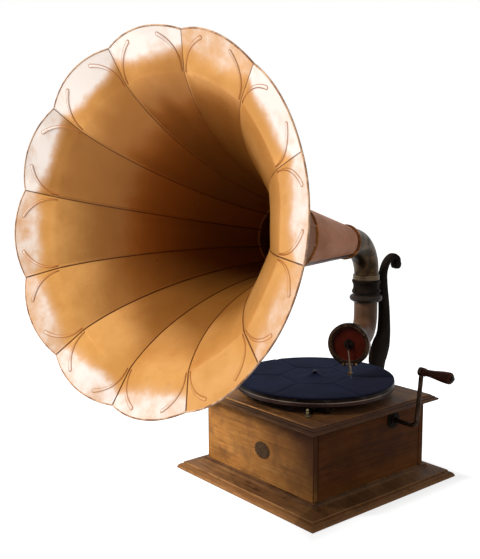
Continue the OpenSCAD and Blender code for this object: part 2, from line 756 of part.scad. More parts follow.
// Intermediate arbor with its pinion and the crown wheel that drives the spindle
module crown_wheel() {
    disc_t = 2.6;
    disc_x = -leaf_tip - run - disc_t;
    tooth_h = leaf_tip + run - leaf_root - run;
    color("#b08d4c") {
        along_x(plate_left - plate_t, inter_y, inter_z)
            cylinder(r = inter_r, h = plate_right + 2 * plate_t - plate_left);
        along_x(great_x - 1.5, inter_y, inter_z) rotate([0, 0, train_turn + 180 + 180 / pinion_teeth])
            gear(pinion_teeth, train_mod, 6);
        along_x(disc_x - 4, inter_y, inter_z) cylinder(r = 7, h = 4 + over);
        along_x(disc_x, inter_y, inter_z) {
            difference() {
                cylinder(r = crown_r + 1.5, h = disc_t);
                for (a = [0 : 72 : 288]) rotate([0, 0, a]) translate([14, 0, -over]) cylinder(r = 4.5, h = 4);
            }
            for (i = [0 : crown_teeth - 1]) rotate([0, 0, 90 + i * 360 / crown_teeth])
                translate([crown_r - 1.5, 0, disc_t - over]) rotate([90, 0, 90]) linear_extrude(3)
                    polygon([[-0.8, 0], [0.8, 0], [0.32, tooth_h + over], [-0.32, tooth_h + over]]);
        }
    }
}

// Worm of one start on the governor's shaft, with the collar that carries the springs
module governor_shaft() {
    turns = 3;
    color("#9a8f80") translate([gov_x, 0, worm_z]) rotate([-90, 0, 0]) {
        translate([0, 0, gov_y0]) cylinder(r = 1.5, h = -gov_y0 - worm_pitch * turns / 2 + over);
        translate([0, 0, worm_pitch * turns / 2 - over])
            cylinder(r = 1.5, h = gov_y1 - worm_pitch * turns / 2 + over);
        translate([0, 0, gov_spring_y[1]]) cylinder(r = 6, h = 3);
        translate([0, 0, -worm_pitch * turns / 2])
            linear_extrude(worm_pitch * turns, twist = -360 * turns, slices = 8 * turns, $fn = 10)
                translate([worm_throw, 0]) circle(r = worm_core, $fn = 10);
    }
}

// Three bowed leaf springs, each with its ball
module governor_weights() {
    reach = gov_spring_y[1] - gov_spring_y[0];
    bow = 4.6;
    bow_r = (reach * reach / 4 + bow * bow) / (2 * bow);
    open = asin(reach / 2 / bow_r) + 2;
    color("#b08d4c") translate([gov_x, gov_spring_y[0] + reach / 2, worm_z]) rotate([-90, 0, 0])
        for (a = [30 : 120 : 270]) rotate([0, 0, a]) {
            intersection() {
                translate([5.3 + bow - bow_r, 1.5, 0]) rotate([90, 0, 0]) rotate([0, 0, -open])
                    rotate_extrude(angle = 2 * open) translate([bow_r - 0.3, 0]) square([0.6, 3]);
                translate([0, -5, -reach / 2]) cube([20, 10, reach]);
            }
            translate([5.3 + bow + gov_ball_r - 0.4, 0, 0]) sphere(r = gov_ball_r, $fn = 32);
        }
}

module governor_disc() {
    color("#8f8574") translate([gov_x, gov_disc_y, worm_z]) rotate([-90, 0, 0]) {
        tube(gov_disc_r, 1.5 + fit, 2);
        tube(6, 1.5 + fit, gov_spring_y[0] - gov_disc_y);
    }
}

// Bracket and tonearm

module bracket_screw_spots() {
    low = case_z - foot_below - foot_h;
    for (x = [-1, 1]) for (z = [low + 10, low + foot_h - 10])
        translate([x * (foot_w / 2 - 8), half + foot_t, z]) rotate([-90, 0, 0]) children();
}

// The stem's middle line from the foot to the curl: [back, up, half width]
function stem_line() = let (y = half, lid = top_w / 2, z = top_z, c = collar_z) [
    [y + 2, z - 78, 2],
    [y + 3.5, z - 66, 3],
    [y + 9, z - 40, 7],
    [lid + 11.5, z - 4, 9],
    [max(lid + 11.5, platter_r + 24), z + 29, 20],
    [y + 36, z + 52, 20.2],
    [y + 41, z + 67, 15.8],
    [y + 42.8, z + 83, 13],
    [collar_y + 46, c - 30, 10.5],
    [collar_y + 41, c + 12, 8.6],
    [collar_y + 42.8, c + 33, 6.2],
    [collar_y + 52, c + 48, 5.2],
    [collar_y + 66, c + 56, 4.8],
    [collar_y + 76.5, c + 48, 4.8],
    [collar_y + 74.5, c + 40.5, 6.4],
    [collar_y + 70, c + 36, 7]];

module bracket_stem() {
    line = stem_line();
    steps = 5;
    count = (len(line) - 3) * steps;
    spots = [for (i = [0 : count])
        let (j = min(floor(i / steps), len(line) - 4), t = i / steps - j)
        between(line[j], line[j + 1], line[j + 2], line[j + 3], t)];
    function side(i, s) =
        let (a = spots[max(i - 1, 0)], b = spots[min(i + 1, count)], d = [b[0] - a[0], b[1] - a[1]])
        [spots[i][0], spots[i][1]] + s * spots[i][2] * [-d[1], d[0]] / norm(d);
    rotate([90, 0, 90]) translate([0, 0, -bracket_t / 2]) linear_extrude(bracket_t) {
        polygon(concat([for (i = [0 : count]) side(i, 1)], [for (i = [count : -1 : 0]) side(i, -1)]));
        translate([line[14][0], line[14][1]]) circle(r = line[14][2] + 0.8);
    }
}

// Cast in one: the foot on the back panel, the curled stem and the collar
module back_bracket() {
    low = case_z - foot_below - foot_h;
    color("#1e1c1b") difference() {
        union() {
            translate([-foot_w / 2, half, low]) cube([foot_w, foot_t, foot_h]);
            bracket_stem();
            translate([-6, collar_y + collar_r - 2, collar_z + 2]) cube([12, 24, collar_h - 5]);
            translate([0, collar_y, collar_z]) rotate_extrude() polygon(concat(
                [[1, 0], [collar_r - 1, 0], [collar_r - 0.2, 1], [collar_r - 0.2, 4]],
                [for (a = [-60 : 20 : 60]) [collar_r + 1.4 - 4 * cos(a), collar_h / 2 + 8 * sin(a) / sin(60)]],
                [[collar_r, collar_h - 2.4], [collar_r, collar_h - 0.8], [collar_r - 0.8, collar_h], [1, collar_h]]));
        }
        translate([0, collar_y, collar_z - over]) cylinder(r = neck_r + fit, h = collar_h);
        translate([0, collar_y, spigot_z]) cylinder(r = elbow_r + 0.2, h = collar_h);
        bracket_screw_spots() translate([0, 0, -foot_t - over]) cylinder(r = 1.8 + fit, h = foot_t + 1);
        collar_screw_spots() cylinder(r = 1.7, h = 12);
    }
}

// Spots of the screws whose tips hold the tonearm's neck up in the collar
module collar_screw_spots() {
    translate([0, collar_y, collar_z + 5.2]) for (a = [-100 : 120 : 140]) rotate([0, 0, a])
        rotate([0, 90, 0]) translate([0, 0, neck_r - 1]) children();
}

module bracket_screws() {
    color("#4a4540") {
        bracket_screw_spots() {
            translate([0, 0, -foot_t - 8]) cylinder(r = 1.8, h = foot_t + 8);
            difference() {
                cylinder(r1 = 4, r2 = 3.2, h = 2);
                translate([-5, -0.4, 1.2]) cube([10, 0.8, 2]);
            }
        }
        collar_screw_spots() cylinder(r = 1.7, h = collar_r - neck_r + 2.2);
    }
}

module at_arm() {
    translate([0, collar_y, 0]) rotate([0, 0, arm_yaw - 90]) children();
}

// The tube's body, or its bore when wall is more than 0
module arm_core(wall, extra) {
    r = tube_r - wall;
    run_end = arm_reach - sound_t - 1;
    shoulder = wall > 0 ? 0 : 2;
    translate([0, 0, arm_z + arm_bend]) cylinder(r = r, h = flange_z - arm_z - arm_bend + extra + 2);
    translate([arm_bend, 0, arm_z + arm_bend]) rotate([90, 0, 0]) rotate([0, 0, 180])
        rotate_extrude(angle = 90) translate([arm_bend, 0]) circle(r = r);
    translate([arm_bend, 0, arm_z]) rotate([0, 90, 0])
        cylinder(r1 = r, r2 = arm_end_r - wall + shoulder, h = run_end - 12 - arm_bend);
    translate([run_end - 12, 0, arm_z]) rotate([0, 90, 0]) cylinder(r = arm_end_r - wall, h = 12 + extra);
}

// Bent tube with its flange under the collar, and the grooved neck that turns in it
module tonearm() {
    neck_top = spigot_z - run;
    color("#4a362a") at_arm() difference() {
        union() {
            arm_core(0, 0);
            translate([0, 0, flange_z]) rotate_extrude() polygon(concat(
                [[neck_r - 4, 0], [tube_r + 2, 0], [flange_r - 4, 0.9]],
                [for (a = [-60 : 20 : 80]) [flange_r - 3 + 3 * cos(a), flange_h / 2 + 0.4 + 4.4 * sin(a)]],
                [[flange_r - 5, flange_h], [neck_r, flange_h], [neck_r, neck_top - flange_z],
                 [neck_r - 4, neck_top - flange_z]]));
        }
        arm_core(tube_wall, 1);
        translate([0, 0, flange_z]) cylinder(r = neck_r - tube_wall - 1, h = 60);
        translate([0, 0, collar_z + 5.2 - 2.2]) tube(neck_r + 1, neck_r - 1.4, 4.4);
    }
}

// Soundbox, drawn round its own axis: z is out of its face, y is up before the lean

module at_soundbox() {
    at_arm() translate([arm_reach, 0, arm_z]) rotate([90, 0, 90]) rotate([0, 0, sound_roll]) children();
}

module soundbox_body() {
    color("#8d8478") at_soundbox() difference() {
        rotate_extrude() polygon([
            [arm_end_r + fit, -sound_t - 12], [arm_end_r + 3.4, -sound_t - 12], [arm_end_r + 4, -sound_t - 11],
            [arm_end_r + 4, -sound_t - 2], [sound_r * 0.72, -sound_t], [sound_r - 4, -sound_t + 2.5],
            [sound_r, -sound_t + 6], [sound_r, -3], [sound_r - 4.2, -3], [sound_r - 4.2, -8],
            [sound_r - 7, -9.5], [arm_end_r - 3, -10.5], [arm_end_r - 3, -sound_t - 0.5],
            [arm_end_r + fit, -sound_t - 0.5]]);
        soundbox_screw_spots() cylinder(r = 1.3, h = 3.1);
    }
}

// Face ring that clamps the diaphragm, with ears for the stylus bar's pivots
module soundbox_ring() {
    color("#a29a8c") at_soundbox() {
        difference() {
            rotate_extrude() polygon(concat(
                [[window_r, -3], [sound_r, -3]],
                [for (a = [0 : 30 : 90]) [sound_r - 2.5 + 2.5 * cos(a), -1.5 + 2 * sin(a)]],
                [[window_r + 1.5, 0.5], [window_r, -0.8]]));
            soundbox_screw_spots() translate([0, 0, -over]) cylinder(r = 1.3 + fit, h = 8);
        }
        difference() {
            for (s = [-1, 1]) translate([s * 7.5 - 1.6, -window_r - 5.6, 0]) cube([3.2, 5, 4]);
            translate([-10, -window_r - 3, 2.6]) rotate([0, 90, 0]) cylinder(r = 1, h = 20);
        }
    }
}

module soundbox_screw_spots() {
    for (a = [30 : 60 : 330]) if (a != 270) rotate([0, 0, a]) translate([sound_r - 2.6, 0, -6]) children();
}

module diaphragm() {
    color("#7a2a1c") at_soundbox() translate([0, 0, -5.6]) cylinder(r = sound_r - 5, h = 0.6);
}

module gaskets() {
    color("#b8ae9c") at_soundbox() {
        translate([0, 0, -8]) tube(sound_r - 4.6, sound_r - 7.4, 2.3);
        translate([0, 0, -4.9]) tube(sound_r - 4.6, sound_r - 7.4, 1.8);
    }
}

// Boss on the diaphragm, the bar down its face, its yoke between the pivots and the needle chuck
module stylus_bar() {
    chuck = window_r + 3;
    color("#3a3430") at_soundbox() difference() {
        union() {
            translate([0, 0, -4.9]) cylinder(r = 8, h = 1.6);
            translate([0, 0, -3.4]) cylinder(r1 = 5, r2 = 2.2, h = 2.6);
            translate([0, -chuck, 2.2]) rotate([-90, 0, 0]) cylinder(r1 = 1.5, r2 = 0.9, h = chuck - 1);
            translate([0, -0.6, -1.4]) cylinder(r = 1.4, h = 4.3);
            translate([-5.6, -chuck, 2.6]) rotate([0, 90, 0]) cylinder(r = 1.9, h = 11.2);
            translate([0, -needle_reach + 8, 2.6]) rotate([-90, 0, 0]) cylinder(r = 2, h = needle_reach - 8 - chuck + 1);
            translate([0, -needle_reach + 9.6, 2.6]) sphere(r = 3.1, $fn = 32);
        }
        translate([0, -needle_reach + 4, 2.6]) rotate([-90, 0, 0]) cylinder(r = needle_r, h = 12);
        translate([0, -needle_reach + 9.6, 3]) cylinder(r = 1.1, h = 12);
    }
}

// Two pivot screws in the ears, five face screws and the thumb screw that holds the needle
module soundbox_screws() {
    color("#c7a860") at_soundbox() {
        for (s = [-1, 1]) translate([s * 5.65, -window_r - 3, 2.6]) rotate([0, s * 90, 0]) {
            cylinder(r = 1, h = 5);
            translate([0, 0, 3.5]) cylinder(r = 1.9, h = 2);
        }
        soundbox_screw_spots() {
            cylinder(r = 1.3, h = 6.6);
            translate([0, 0, 6.5]) cylinder(r = 1.8, h = 0.8);
        }
        translate([0, -needle_reach + 9.6, 4]) {
            cylinder(r = 1.1, h = 6);
            translate([0, 0, 3]) cylinder(r = 2.6, h = 3.4);
        }
    }
}

module needle() {
    color("#c9c9c9") at_soundbox() translate([0, 0, 2.6]) rotate([-90, 0, 0]) {
        translate([0, 0, -needle_reach]) cylinder(r1 = 0.12, r2 = needle_r, h = 4);
        translate([0, 0, -needle_reach + 4]) cylinder(r = needle_r, h = 11);
    }
}

// Horn

// The axis runs up local z from the bend's corner
module at_horn() {
    translate([0, collar_y, horn_z]) rotate([0, 0, horn_yaw]) rotate([90 - horn_pitch, 0, 0]) children();
}

// Rings of the elbow: [across, up, lean, outside radius] in the horn's upright plane
function elbow_rings() =
    let (
        low = spigot_z + run + 14 - horn_z,
        end_s = cone_s + 8,
        end_r = cone_r - sheet_t - 0.1,
        steps = 9,
        spots = concat(
            [[0, low, 0, 0]],
            [for (i = [0 : steps])
                let (a = bend_angle * i / steps)
                [elbow_bend * (1 - cos(a)), elbow_bend * sin(a) - bend_run, a, i / steps * 0.82]],
            [[end_s * sin(bend_angle), end_s * cos(bend_angle), bend_angle, 1]]))
    [for (p = spots) [p[0], p[1], p[2], elbow_r + (end_r - elbow_r) * p[3]]];

module horn_elbow() {
    wall = 1.2;
    sides = 24;
    rings = elbow_rings();
    n = len(rings);
    function spot(ring, r, k) =
        let (a = ring[2], w = k * 360 / sides)
        [ring[0] + r * cos(w) * cos(a), r * sin(w), ring[1] - r * cos(w) * sin(a)];
    points = concat(
        [for (ring = rings) for (k = [0 : sides - 1]) spot(ring, ring[3], k)],
        [for (ring = rings) for (k = [0 : sides - 1]) spot(ring, ring[3] - wall, k)]);
    function at(shell, i, k) = (shell * n + i) * sides + k % sides;
    faces = concat(
        [for (i = [0 : n - 2]) for (k = [0 : sides - 1]) for (f = [0, 1])
            f == 0 ? [at(0, i, k), at(0, i + 1, k), at(0, i + 1, k + 1)]
                   : [at(0, i, k), at(0, i + 1, k + 1), at(0, i, k + 1)]],
        [for (i = [0 : n - 2]) for (k = [0 : sides - 1]) for (f = [0, 1])
            f == 0 ? [at(1, i, k), at(1, i + 1, k + 1), at(1, i + 1, k)]
                   : [at(1, i, k), at(1, i, k + 1), at(1, i + 1, k + 1)]],
        [for (k = [0 : sides - 1]) for (f = [0, 1])
            f == 0 ? [at(0, 0, k), at(0, 0, k + 1), at(1, 0, k + 1)]
                   : [at(0, 0, k), at(1, 0, k + 1), at(1, 0, k)]],
        [for (k = [0 : sides - 1]) for (f = [0, 1])
            f == 0 ? [at(0, n - 1, k), at(1, n - 1, k + 1), at(0, n - 1, k + 1)]
                   : [at(0, n - 1, k), at(1, n - 1, k), at(1, n - 1, k + 1)]]);
    color("#6b6152") translate([0, collar_y, horn_z]) rotate([0, 0, horn_yaw - 90])
        polyhedron(points = points, faces = faces);
}

// Spigot with its beads in the collar, the ferrule on the cone's narrow end and the band where
// the petals start
module horn_rings() {
    color("#6d4a22") {
        translate([0, collar_y, 0]) {
            translate([0, 0, spigot_z + run]) tube(elbow_r + 0.15, elbow_r - 2.4, collar_top - spigot_z - run);
            translate([0, 0, collar_top + run]) rotate_extrude() polygon(concat(
                [[elbow_r + fit, 0], [elbow_r + 1.6, 0]],
                [for (a = [-60 : 30 : 60]) [elbow_r + 0.8 + 1.4 * cos(a), 2.4 + 1.8 * sin(a)]],
                [for (a = [-60 : 30 : 60]) [elbow_r + 0.6 + 1.6 * cos(a), 6.4 + 1.8 * sin(a)]],
                [[elbow_r + fit, 8.4]]));
            translate([0, 0, collar_top - over]) tube(elbow_r + 0.15, elbow_r - 2.4, run + over);
        }
        at_horn() {
            translate([0, 0, cone_s - 1]) rotate_extrude() polygon(concat(
                [[cone_r + fit + 0.1, 0.9]],
                [for (a = [-90 : 30 : 90]) [cone_r + 1.2 + 2.2 * cos(a), 3 + 2.6 * sin(a)]],
                [[cone_r + 1.3, 6.4], [cone_r + 2.2, 7.4], [cone_r + 1.2 + cone_slope * 8, 8.4],
                 [cone_r + fit + 0.1 + cone_slope * 8, 8.4]]));
            translate([0, 0, throat_s - 7.4]) rotate_extrude() polygon(concat(
                [[throat_r + fit - cone_slope * 7.4, 0]],
                [[throat_r + 0.9 - cone_slope * 7.4, 0], [throat_r + 1, 2]],
                [for (a = [-75 : 30 : 75]) [throat_r + 0.9 + 1.9 * cos(a), 5 + 2.25 * sin(a)]],
                [[throat_r + fit, 7.4]]));
        }
    }
}

module horn_cone() {
    color("#7d5a48") at_horn() rotate_extrude() polygon([
        [cone_r - sheet_t, cone_s], [cone_r, cone_s], [throat_r, throat_s], [throat_r - sheet_t, throat_s]]);
}

// A point of a petal: t runs from throat to rim, u from seam to seam, lift is outwards
function petal_point(t, u, lift) =
    let (
        way = bezier_way(flare, t),
        out = [-way[1], way[0]],
        rise = 1 - u * u,
        p = bezier(flare, t) + way * scallop * rise * pow(t, 5) + out * (lift - petal_flat * rise * smooth(t)),
        a = petal_angle * u / 2)
    [p[1] * cos(a), p[1] * sin(a), p[0]];

// Share of the half petal at which its folded seam starts
function fold_u(t) = 1 - fold_w / bezier(flare, t)[1] * 360 / PI / petal_angle;

module petal() {
    rows = 11;
    columns = 8;
    function t_at(i) = let (q = i / rows) 1 - pow(1 - q, 1.25);
    function u_at(i, j) =
        let (f = fold_u(t_at(i)))
        j == columns ? 1 : j == columns - 1 ? f + (1 - f) * 0.1 : -1 + (f + 1) * j / (columns - 2);
    function lift_at(j) = j >= columns - 1 ? sheet_t + fold_h : sheet_t;
    wide = columns + 1;
    points = concat(
        [for (i = [0 : rows]) for (j = [0 : columns]) petal_point(t_at(i), u_at(i, j), 0)],
        [for (i = [0 : rows]) for (j = [0 : columns]) petal_point(t_at(i), u_at(i, j), lift_at(j))]);
    function at(shell, i, j) = (shell * (rows + 1) + i) * wide + j;
    function pair(a, b, c, d) = [[a, b, c], [a, c, d]];
    quads = concat(
        [for (i = [0 : rows - 1]) for (j = [0 : columns - 1])
            pair(at(0, i, j), at(0, i, j + 1), at(0, i + 1, j + 1), at(0, i + 1, j))],
        [for (i = [0 : rows - 1]) for (j = [0 : columns - 1])
            pair(at(1, i, j), at(1, i + 1, j), at(1, i + 1, j + 1), at(1, i, j + 1))],
        [for (i = [0 : rows - 1])
            pair(at(0, i, 0), at(0, i + 1, 0), at(1, i + 1, 0), at(1, i, 0))],
        [for (i = [0 : rows - 1])
            pair(at(0, i + 1, columns), at(0, i, columns), at(1, i, columns), at(1, i + 1, columns))],
        [for (j = [0 : columns - 1])
            pair(at(0, 0, j + 1), at(0, 0, j), at(1, 0, j), at(1, 0, j + 1))],
        [for (j = [0 : columns - 1])
            pair(at(0, rows, j), at(0, rows, j + 1), at(1, rows, j + 1), at(1, rows, j))]);
    polyhedron(points = points, faces = [for (q = quads) for (f = q) f]);
}

module horn_petal(i) {
    color("#d99a4e") at_horn() rotate([0, 0, seam_turn + petal_angle * (i - 0.5)]) petal();
}

// Wire along the scalloped edge, held in the petals' rolled rims
module rim_wire() {
    per_petal = 6;
    sides = 6;
    count = petals * per_petal;
    function rim_spot(k, w) =
        let (
            u = (k % per_petal) * 2 / per_petal - 1,
            a = seam_turn + k * petal_angle / per_petal,
            way = bezier_way(flare, 1),
            out = [-way[1], way[0]],
            edge = bezier(flare, 1) + way * (scallop * (1 - u * u) + wire_r + fit)
                + out * (sheet_t / 2 - petal_flat * (1 - u * u)),
            p = edge + wire_r * [cos(w), sin(w)])
        [p[1] * cos(a), p[1] * sin(a), p[0]];
    points = [for (k = [0 : count - 1]) for (j = [0 : sides - 1]) rim_spot(k, j * 360 / sides)];
    function at(k, j) = (k % count) * sides + j % sides;
    color("#3c2a18") at_horn() polyhedron(points = points, faces =
        [for (k = [0 : count - 1]) for (j = [0 : sides - 1]) for (f = [0, 1])
            f == 0 ? [at(k, j), at(k + 1, j + 1), at(k + 1, j)] : [at(k, j), at(k, j + 1), at(k + 1, j + 1)]]);
}

base_board();
base_moulding();
front_panel();
back_panel();
left_panel();
right_panel();
corner_blocks();
top_board();
board_screws();
spindle_bush();
platter();
felt_mat();
spindle();
worm_wheel();
brake_lever();
brake_pad();
speed_knob();
speed_pad();
crank_escutcheon();
crank_rod();
crank_pinion();
grip_pin();
crank_grip();
motor_frame();
spring_barrel();
mainspring();
winding_arbor();
winding_gear();
ratchet_click();
crown_wheel();
governor_shaft();
governor_weights();
governor_disc();
back_bracket();
bracket_screws();
tonearm();
soundbox_body();
soundbox_ring();
diaphragm();
gaskets();
stylus_bar();
soundbox_screws();
needle();
horn_elbow();
horn_rings();
horn_cone();
rim_wire();
for (i = [1 : petals]) horn_petal(i);
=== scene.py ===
"""Looks of the horn gramophone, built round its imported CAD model. Sizes are in millimetres until a
piece's mesh is made, and every finished object sits at the origin with its place in its mesh."""
import math

import bmesh
import bpy
import numpy as np
from mathutils import Matrix, Vector


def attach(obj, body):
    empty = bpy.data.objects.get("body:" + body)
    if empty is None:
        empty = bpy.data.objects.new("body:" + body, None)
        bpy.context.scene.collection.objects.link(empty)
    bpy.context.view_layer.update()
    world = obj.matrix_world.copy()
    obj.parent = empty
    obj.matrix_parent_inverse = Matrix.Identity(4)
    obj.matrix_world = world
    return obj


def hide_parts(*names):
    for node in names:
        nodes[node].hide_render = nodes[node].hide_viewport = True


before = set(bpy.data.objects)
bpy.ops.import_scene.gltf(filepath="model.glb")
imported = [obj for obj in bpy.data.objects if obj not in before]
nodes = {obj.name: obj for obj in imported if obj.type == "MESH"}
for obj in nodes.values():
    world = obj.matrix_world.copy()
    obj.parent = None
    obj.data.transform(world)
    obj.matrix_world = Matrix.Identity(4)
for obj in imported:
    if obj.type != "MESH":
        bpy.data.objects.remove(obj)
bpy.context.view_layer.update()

MM = 0.001

# Sizes shared with the CAD source: half widths of the case, the base and the lid, heights, the collar,
# the bend's corner, then the horn. FLARE holds the (s, r) points of the flare's Bezier curve.
HALF = 121.0
BASE_HALF = 158.0
BASE_T = 9.2
CASE_Z = 125.2
TOP_Z = 134.3
TOP_HALF = 137.5
FELT_R = 124.4
FELT_Z = 158.0
PLAY_Z = 160.0
COLLAR_Y = 116.8
COLLAR_Z = 280.7
COLLAR_TOP = 303.0
ELBOW_R = 19.9
ELBOW_BEND = 56.0
SPIGOT_TOP = COLLAR_Z + 24.435
CORNER_Z = 361.5
HORN_YAW = math.radians(13.5)
HORN_PITCH = math.radians(7.6)
SEAM_TURN = math.radians(21.5)
PETALS = 12
PETAL_ANGLE = 2 * math.pi / PETALS
FLARE = np.array([[237, 47.8], [387.22, 68.72], [518.01, 141.88], [527, 215.5]])
CREASE = 46.0
SCALLOP = 7.0
PETAL_FLAT = 5.0
SHEET_T = 0.8
CONE_S, CONE_R = 69.0, 24.4
THROAT_S, THROAT_R = 237.0, 47.8

# Directions of the row frame
RIGHT, BACK, UP = (1, 0, 0), (0, 1, 0), (0, 0, 1)


# Mesh code: a part is (points, quads), in millimetres

def grid(points, loop_rows=False, loop_columns=False):
    """Quads between the neighbours of a (rows, columns, 3) array, wrapped round where asked."""
    rows, columns = points.shape[:2]
    index = np.arange(rows * columns).reshape(rows, columns)
    if loop_rows:
        index = np.vstack([index, index[:1]])
    if loop_columns:
        index = np.hstack([index, index[:, :1]])
    quads = np.stack([index[:-1, :-1], index[:-1, 1:], index[1:, 1:], index[1:, :-1]], -1)
    return points.reshape(-1, 3), quads.reshape(-1, 4)


def together(*parts):
    """One part of several, their quads renumbered one after the other."""
    starts = np.cumsum([0] + [len(p) for p, _ in parts[:-1]])
    return np.vstack([p for p, _ in parts]), np.vstack([q + s for (_, q), s in zip(parts, starts)])


def piece(name, part, body, finish, replaces=(), sharp=32, fields=None):
    """Makes part an object: doubles merged, normals outwards, edges over sharp degrees kept crisp."""
    points, quads = part
    mesh = bpy.data.meshes.new(name)
    mesh.vertices.add(len(points))
    mesh.vertices.foreach_set("co", (points * MM).astype(np.float32).ravel())
    mesh.loops.add(quads.size)
    mesh.loops.foreach_set("vertex_index", quads.astype(np.int32).ravel())
    mesh.polygons.add(len(quads))
    mesh.polygons.foreach_set("loop_start", np.arange(0, quads.size, 4, dtype=np.int32))
    mesh.update(calc_edges=True)
    for key, values in (fields or {}).items():
        field = mesh.attributes.new(key, "FLOAT", "POINT")
        field.data.foreach_set("value", values.astype(np.float32).ravel())
    work = bmesh.new()
    work.from_mesh(mesh)
    bmesh.ops.remove_doubles(work, verts=work.verts, dist=2e-6)
    bmesh.ops.dissolve_degenerate(work, edges=work.edges, dist=1e-7)
    bmesh.ops.recalc_face_normals(work, faces=work.faces)
    work.to_mesh(mesh)
    work.free()
    mesh.shade_smooth()
    mesh.set_sharp_from_angle(angle=math.radians(sharp))
    thing = bpy.data.objects.new(name, mesh)
    bpy.context.scene.collection.objects.link(thing)
    mesh.materials.append(finish.material)
    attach(thing, body)
    if replaces:
        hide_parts(*replaces)
    return thing


def rounded(corners, reach, closed=False, steps=5):
    """Polyline whose corners are eased: each corner c becomes the quadratic Bezier curve from
    c - in to c + out, with in and out along its two edges, at most reach or 0.45 of the edge."""
    c = np.asarray(corners, float)
    before, after = np.roll(c, 1, 0) - c, np.roll(c, -1, 0) - c
    reach = np.broadcast_to(np.asarray(reach, float), (len(c),))[:, None]
    def cut(edge):
        length = np.maximum(np.linalg.norm(edge, axis=1, keepdims=True), 1e-9)
        return edge / length * np.minimum(reach, 0.45 * length)
    t = np.linspace(0, 1, steps)[None, :, None]
    start, end = (c + cut(before))[:, None], (c + cut(after))[:, None]
    curve = (1 - t) ** 2 * start + 2 * (1 - t) * t * c[:, None] + t ** 2 * end
    if closed:
        return curve.reshape(-1, c.shape[1])
    return np.vstack([c[:1], curve[1:-1].reshape(-1, c.shape[1]), c[-1:]])


def turned(profile, place=lambda p: p, sides=96, closed=True):
    """Surface of revolution: (r, z) of the profile goes to (r cos a, r sin a, z), then to its place."""
    a = np.arange(sides) * 2 * math.pi / sides
    r, z = np.asarray(profile, float).T
    points = np.stack([np.outer(r, np.cos(a)), np.outer(r, np.sin(a)), np.outer(z, np.ones(sides))], -1)
    return grid(place(points), loop_rows=closed, loop_columns=True)


def loft(rings, capped=True):
    """Skin over a stack of closed rings (n, m, 3), its ends closed to their middles."""
    if capped:
        low, high = rings[0].mean(0), rings[-1].mean(0)
        rings = np.concatenate([np.broadcast_to(low, rings[:1].shape), rings,
                                np.broadcast_to(high, rings[:1].shape)])
    return grid(rings, loop_columns=True)


def board(low, high, edge=1.0):
    """Box with eased edges: its middle section is a rounded rectangle, carried along the longest
    side and drawn in at both ends by the same rounding."""
    low, high = np.array(low, float), np.array(high, float)
    middle, half = (low + high) / 2, (high - low) / 2
    along = int(np.argmax(half))
    across = [k for k in range(3) if k != along]
    a = np.linspace(0, math.pi / 2, 4)
    ends = [(-half[along] + edge * (1 - math.sin(t)), edge * (1 - math.cos(t))) for t in a]
    stations = ends + [(-s, inset) for s, inset in reversed(ends)]
    w, h = half[across[0]], half[across[1]]
    rings = np.zeros((len(stations), 16, 3))
    turn = np.concatenate([a + k * math.pi / 2 for k in range(4)])
    sx = np.repeat([1, -1, -1, 1], 4)
    sy = np.repeat([1, 1, -1, -1], 4)
    for k, (s, inset) in enumerate(stations):
        round_r = max(edge - inset, 0.01)
        rings[k, :, across[0]] = sx * (w - inset - round_r) + round_r * np.cos(turn)
        rings[k, :, across[1]] = sy * (h - inset - round_r) + round_r * np.sin(turn)
        rings[k, :, along] = s
    return loft(rings + middle)


def square_ring(profile, closed=True):
    """Profile of (outwards, up) points carried round a square with mitred corners."""
    out, up = np.asarray(profile, float).T
    corners = np.array([[1, -1], [1, 1], [-1, 1], [-1, -1]])
    points = np.zeros((len(out), 4, 3))
    points[:, :, :2] = out[:, None, None] * corners
    points[:, :, 2] = up[:, None]
    return grid(points, loop_rows=closed, loop_columns=True)


def tangents(path):
    """Unit tangents of a path, by central differences."""
    d = np.gradient(path, axis=0)
    return d / np.linalg.norm(d, axis=1, keepdims=True)


def swept(path, side, section, capped=True):
    """Section (n or 1, m, 2) carried along a path: each point goes to
    path + section_0 side + section_1 (tangent x side)."""
    path = np.asarray(path, float)
    t = tangents(path)
    side = np.broadcast_to(np.asarray(side, float), t.shape)
    side = side - (side * t).sum(1, keepdims=True) * t
    side = side / np.linalg.norm(side, axis=1, keepdims=True)
    other = np.cross(t, side)
    section = np.broadcast_to(section, (len(path),) + np.shape(section)[1:])
    rings = path[:, None] + section[..., :1] * side[:, None] + section[..., 1:] * other[:, None]
    return loft(rings, capped)


def circle(sides):
    """Points (cos a, sin a) of the unit circle."""
    a = np.arange(sides) * 2 * math.pi / sides
    return np.stack([np.cos(a), np.sin(a)], -1)


def superellipse(power, sides):
    """Unit curve |x|^p + |y|^p = 1, by x = sign(cos a) |cos a|^(2/p) and the same for y."""
    c = circle(sides)
    return np.sign(c) * np.abs(c) ** (2 / power)


def catmull(points, steps):
    """Catmull-Rom curve through all but the first and last of the points."""
    p = np.asarray(points, float)
    t = np.linspace(0, 1, steps, endpoint=False)[None, :, None]
    a, b, c, d = p[:-3, None], p[1:-2, None], p[2:-1, None], p[3:, None]
    curve = 0.5 * (2 * b + (c - a) * t + (2 * a - 5 * b + 4 * c - d) * t ** 2
                   + (3 * b - a - 3 * c + d) * t ** 3)
    return np.vstack([curve.reshape(-1, p.shape[1]), p[-2:-1]])


def at_horn(points):
    """From the horn's own frame, its axis up z from the bend's corner, to the row frame."""
    tip = Matrix.Rotation(math.pi / 2 - HORN_PITCH, 3, "X")
    turn = np.array(Matrix.Rotation(HORN_YAW, 3, "Z") @ tip)
    return points @ turn.T + [0, COLLAR_Y, CORNER_Z]


def at_collar(points):
    """From the collar's upright axis to the row frame."""
    return points + [0, COLLAR_Y, 0]


# Material code

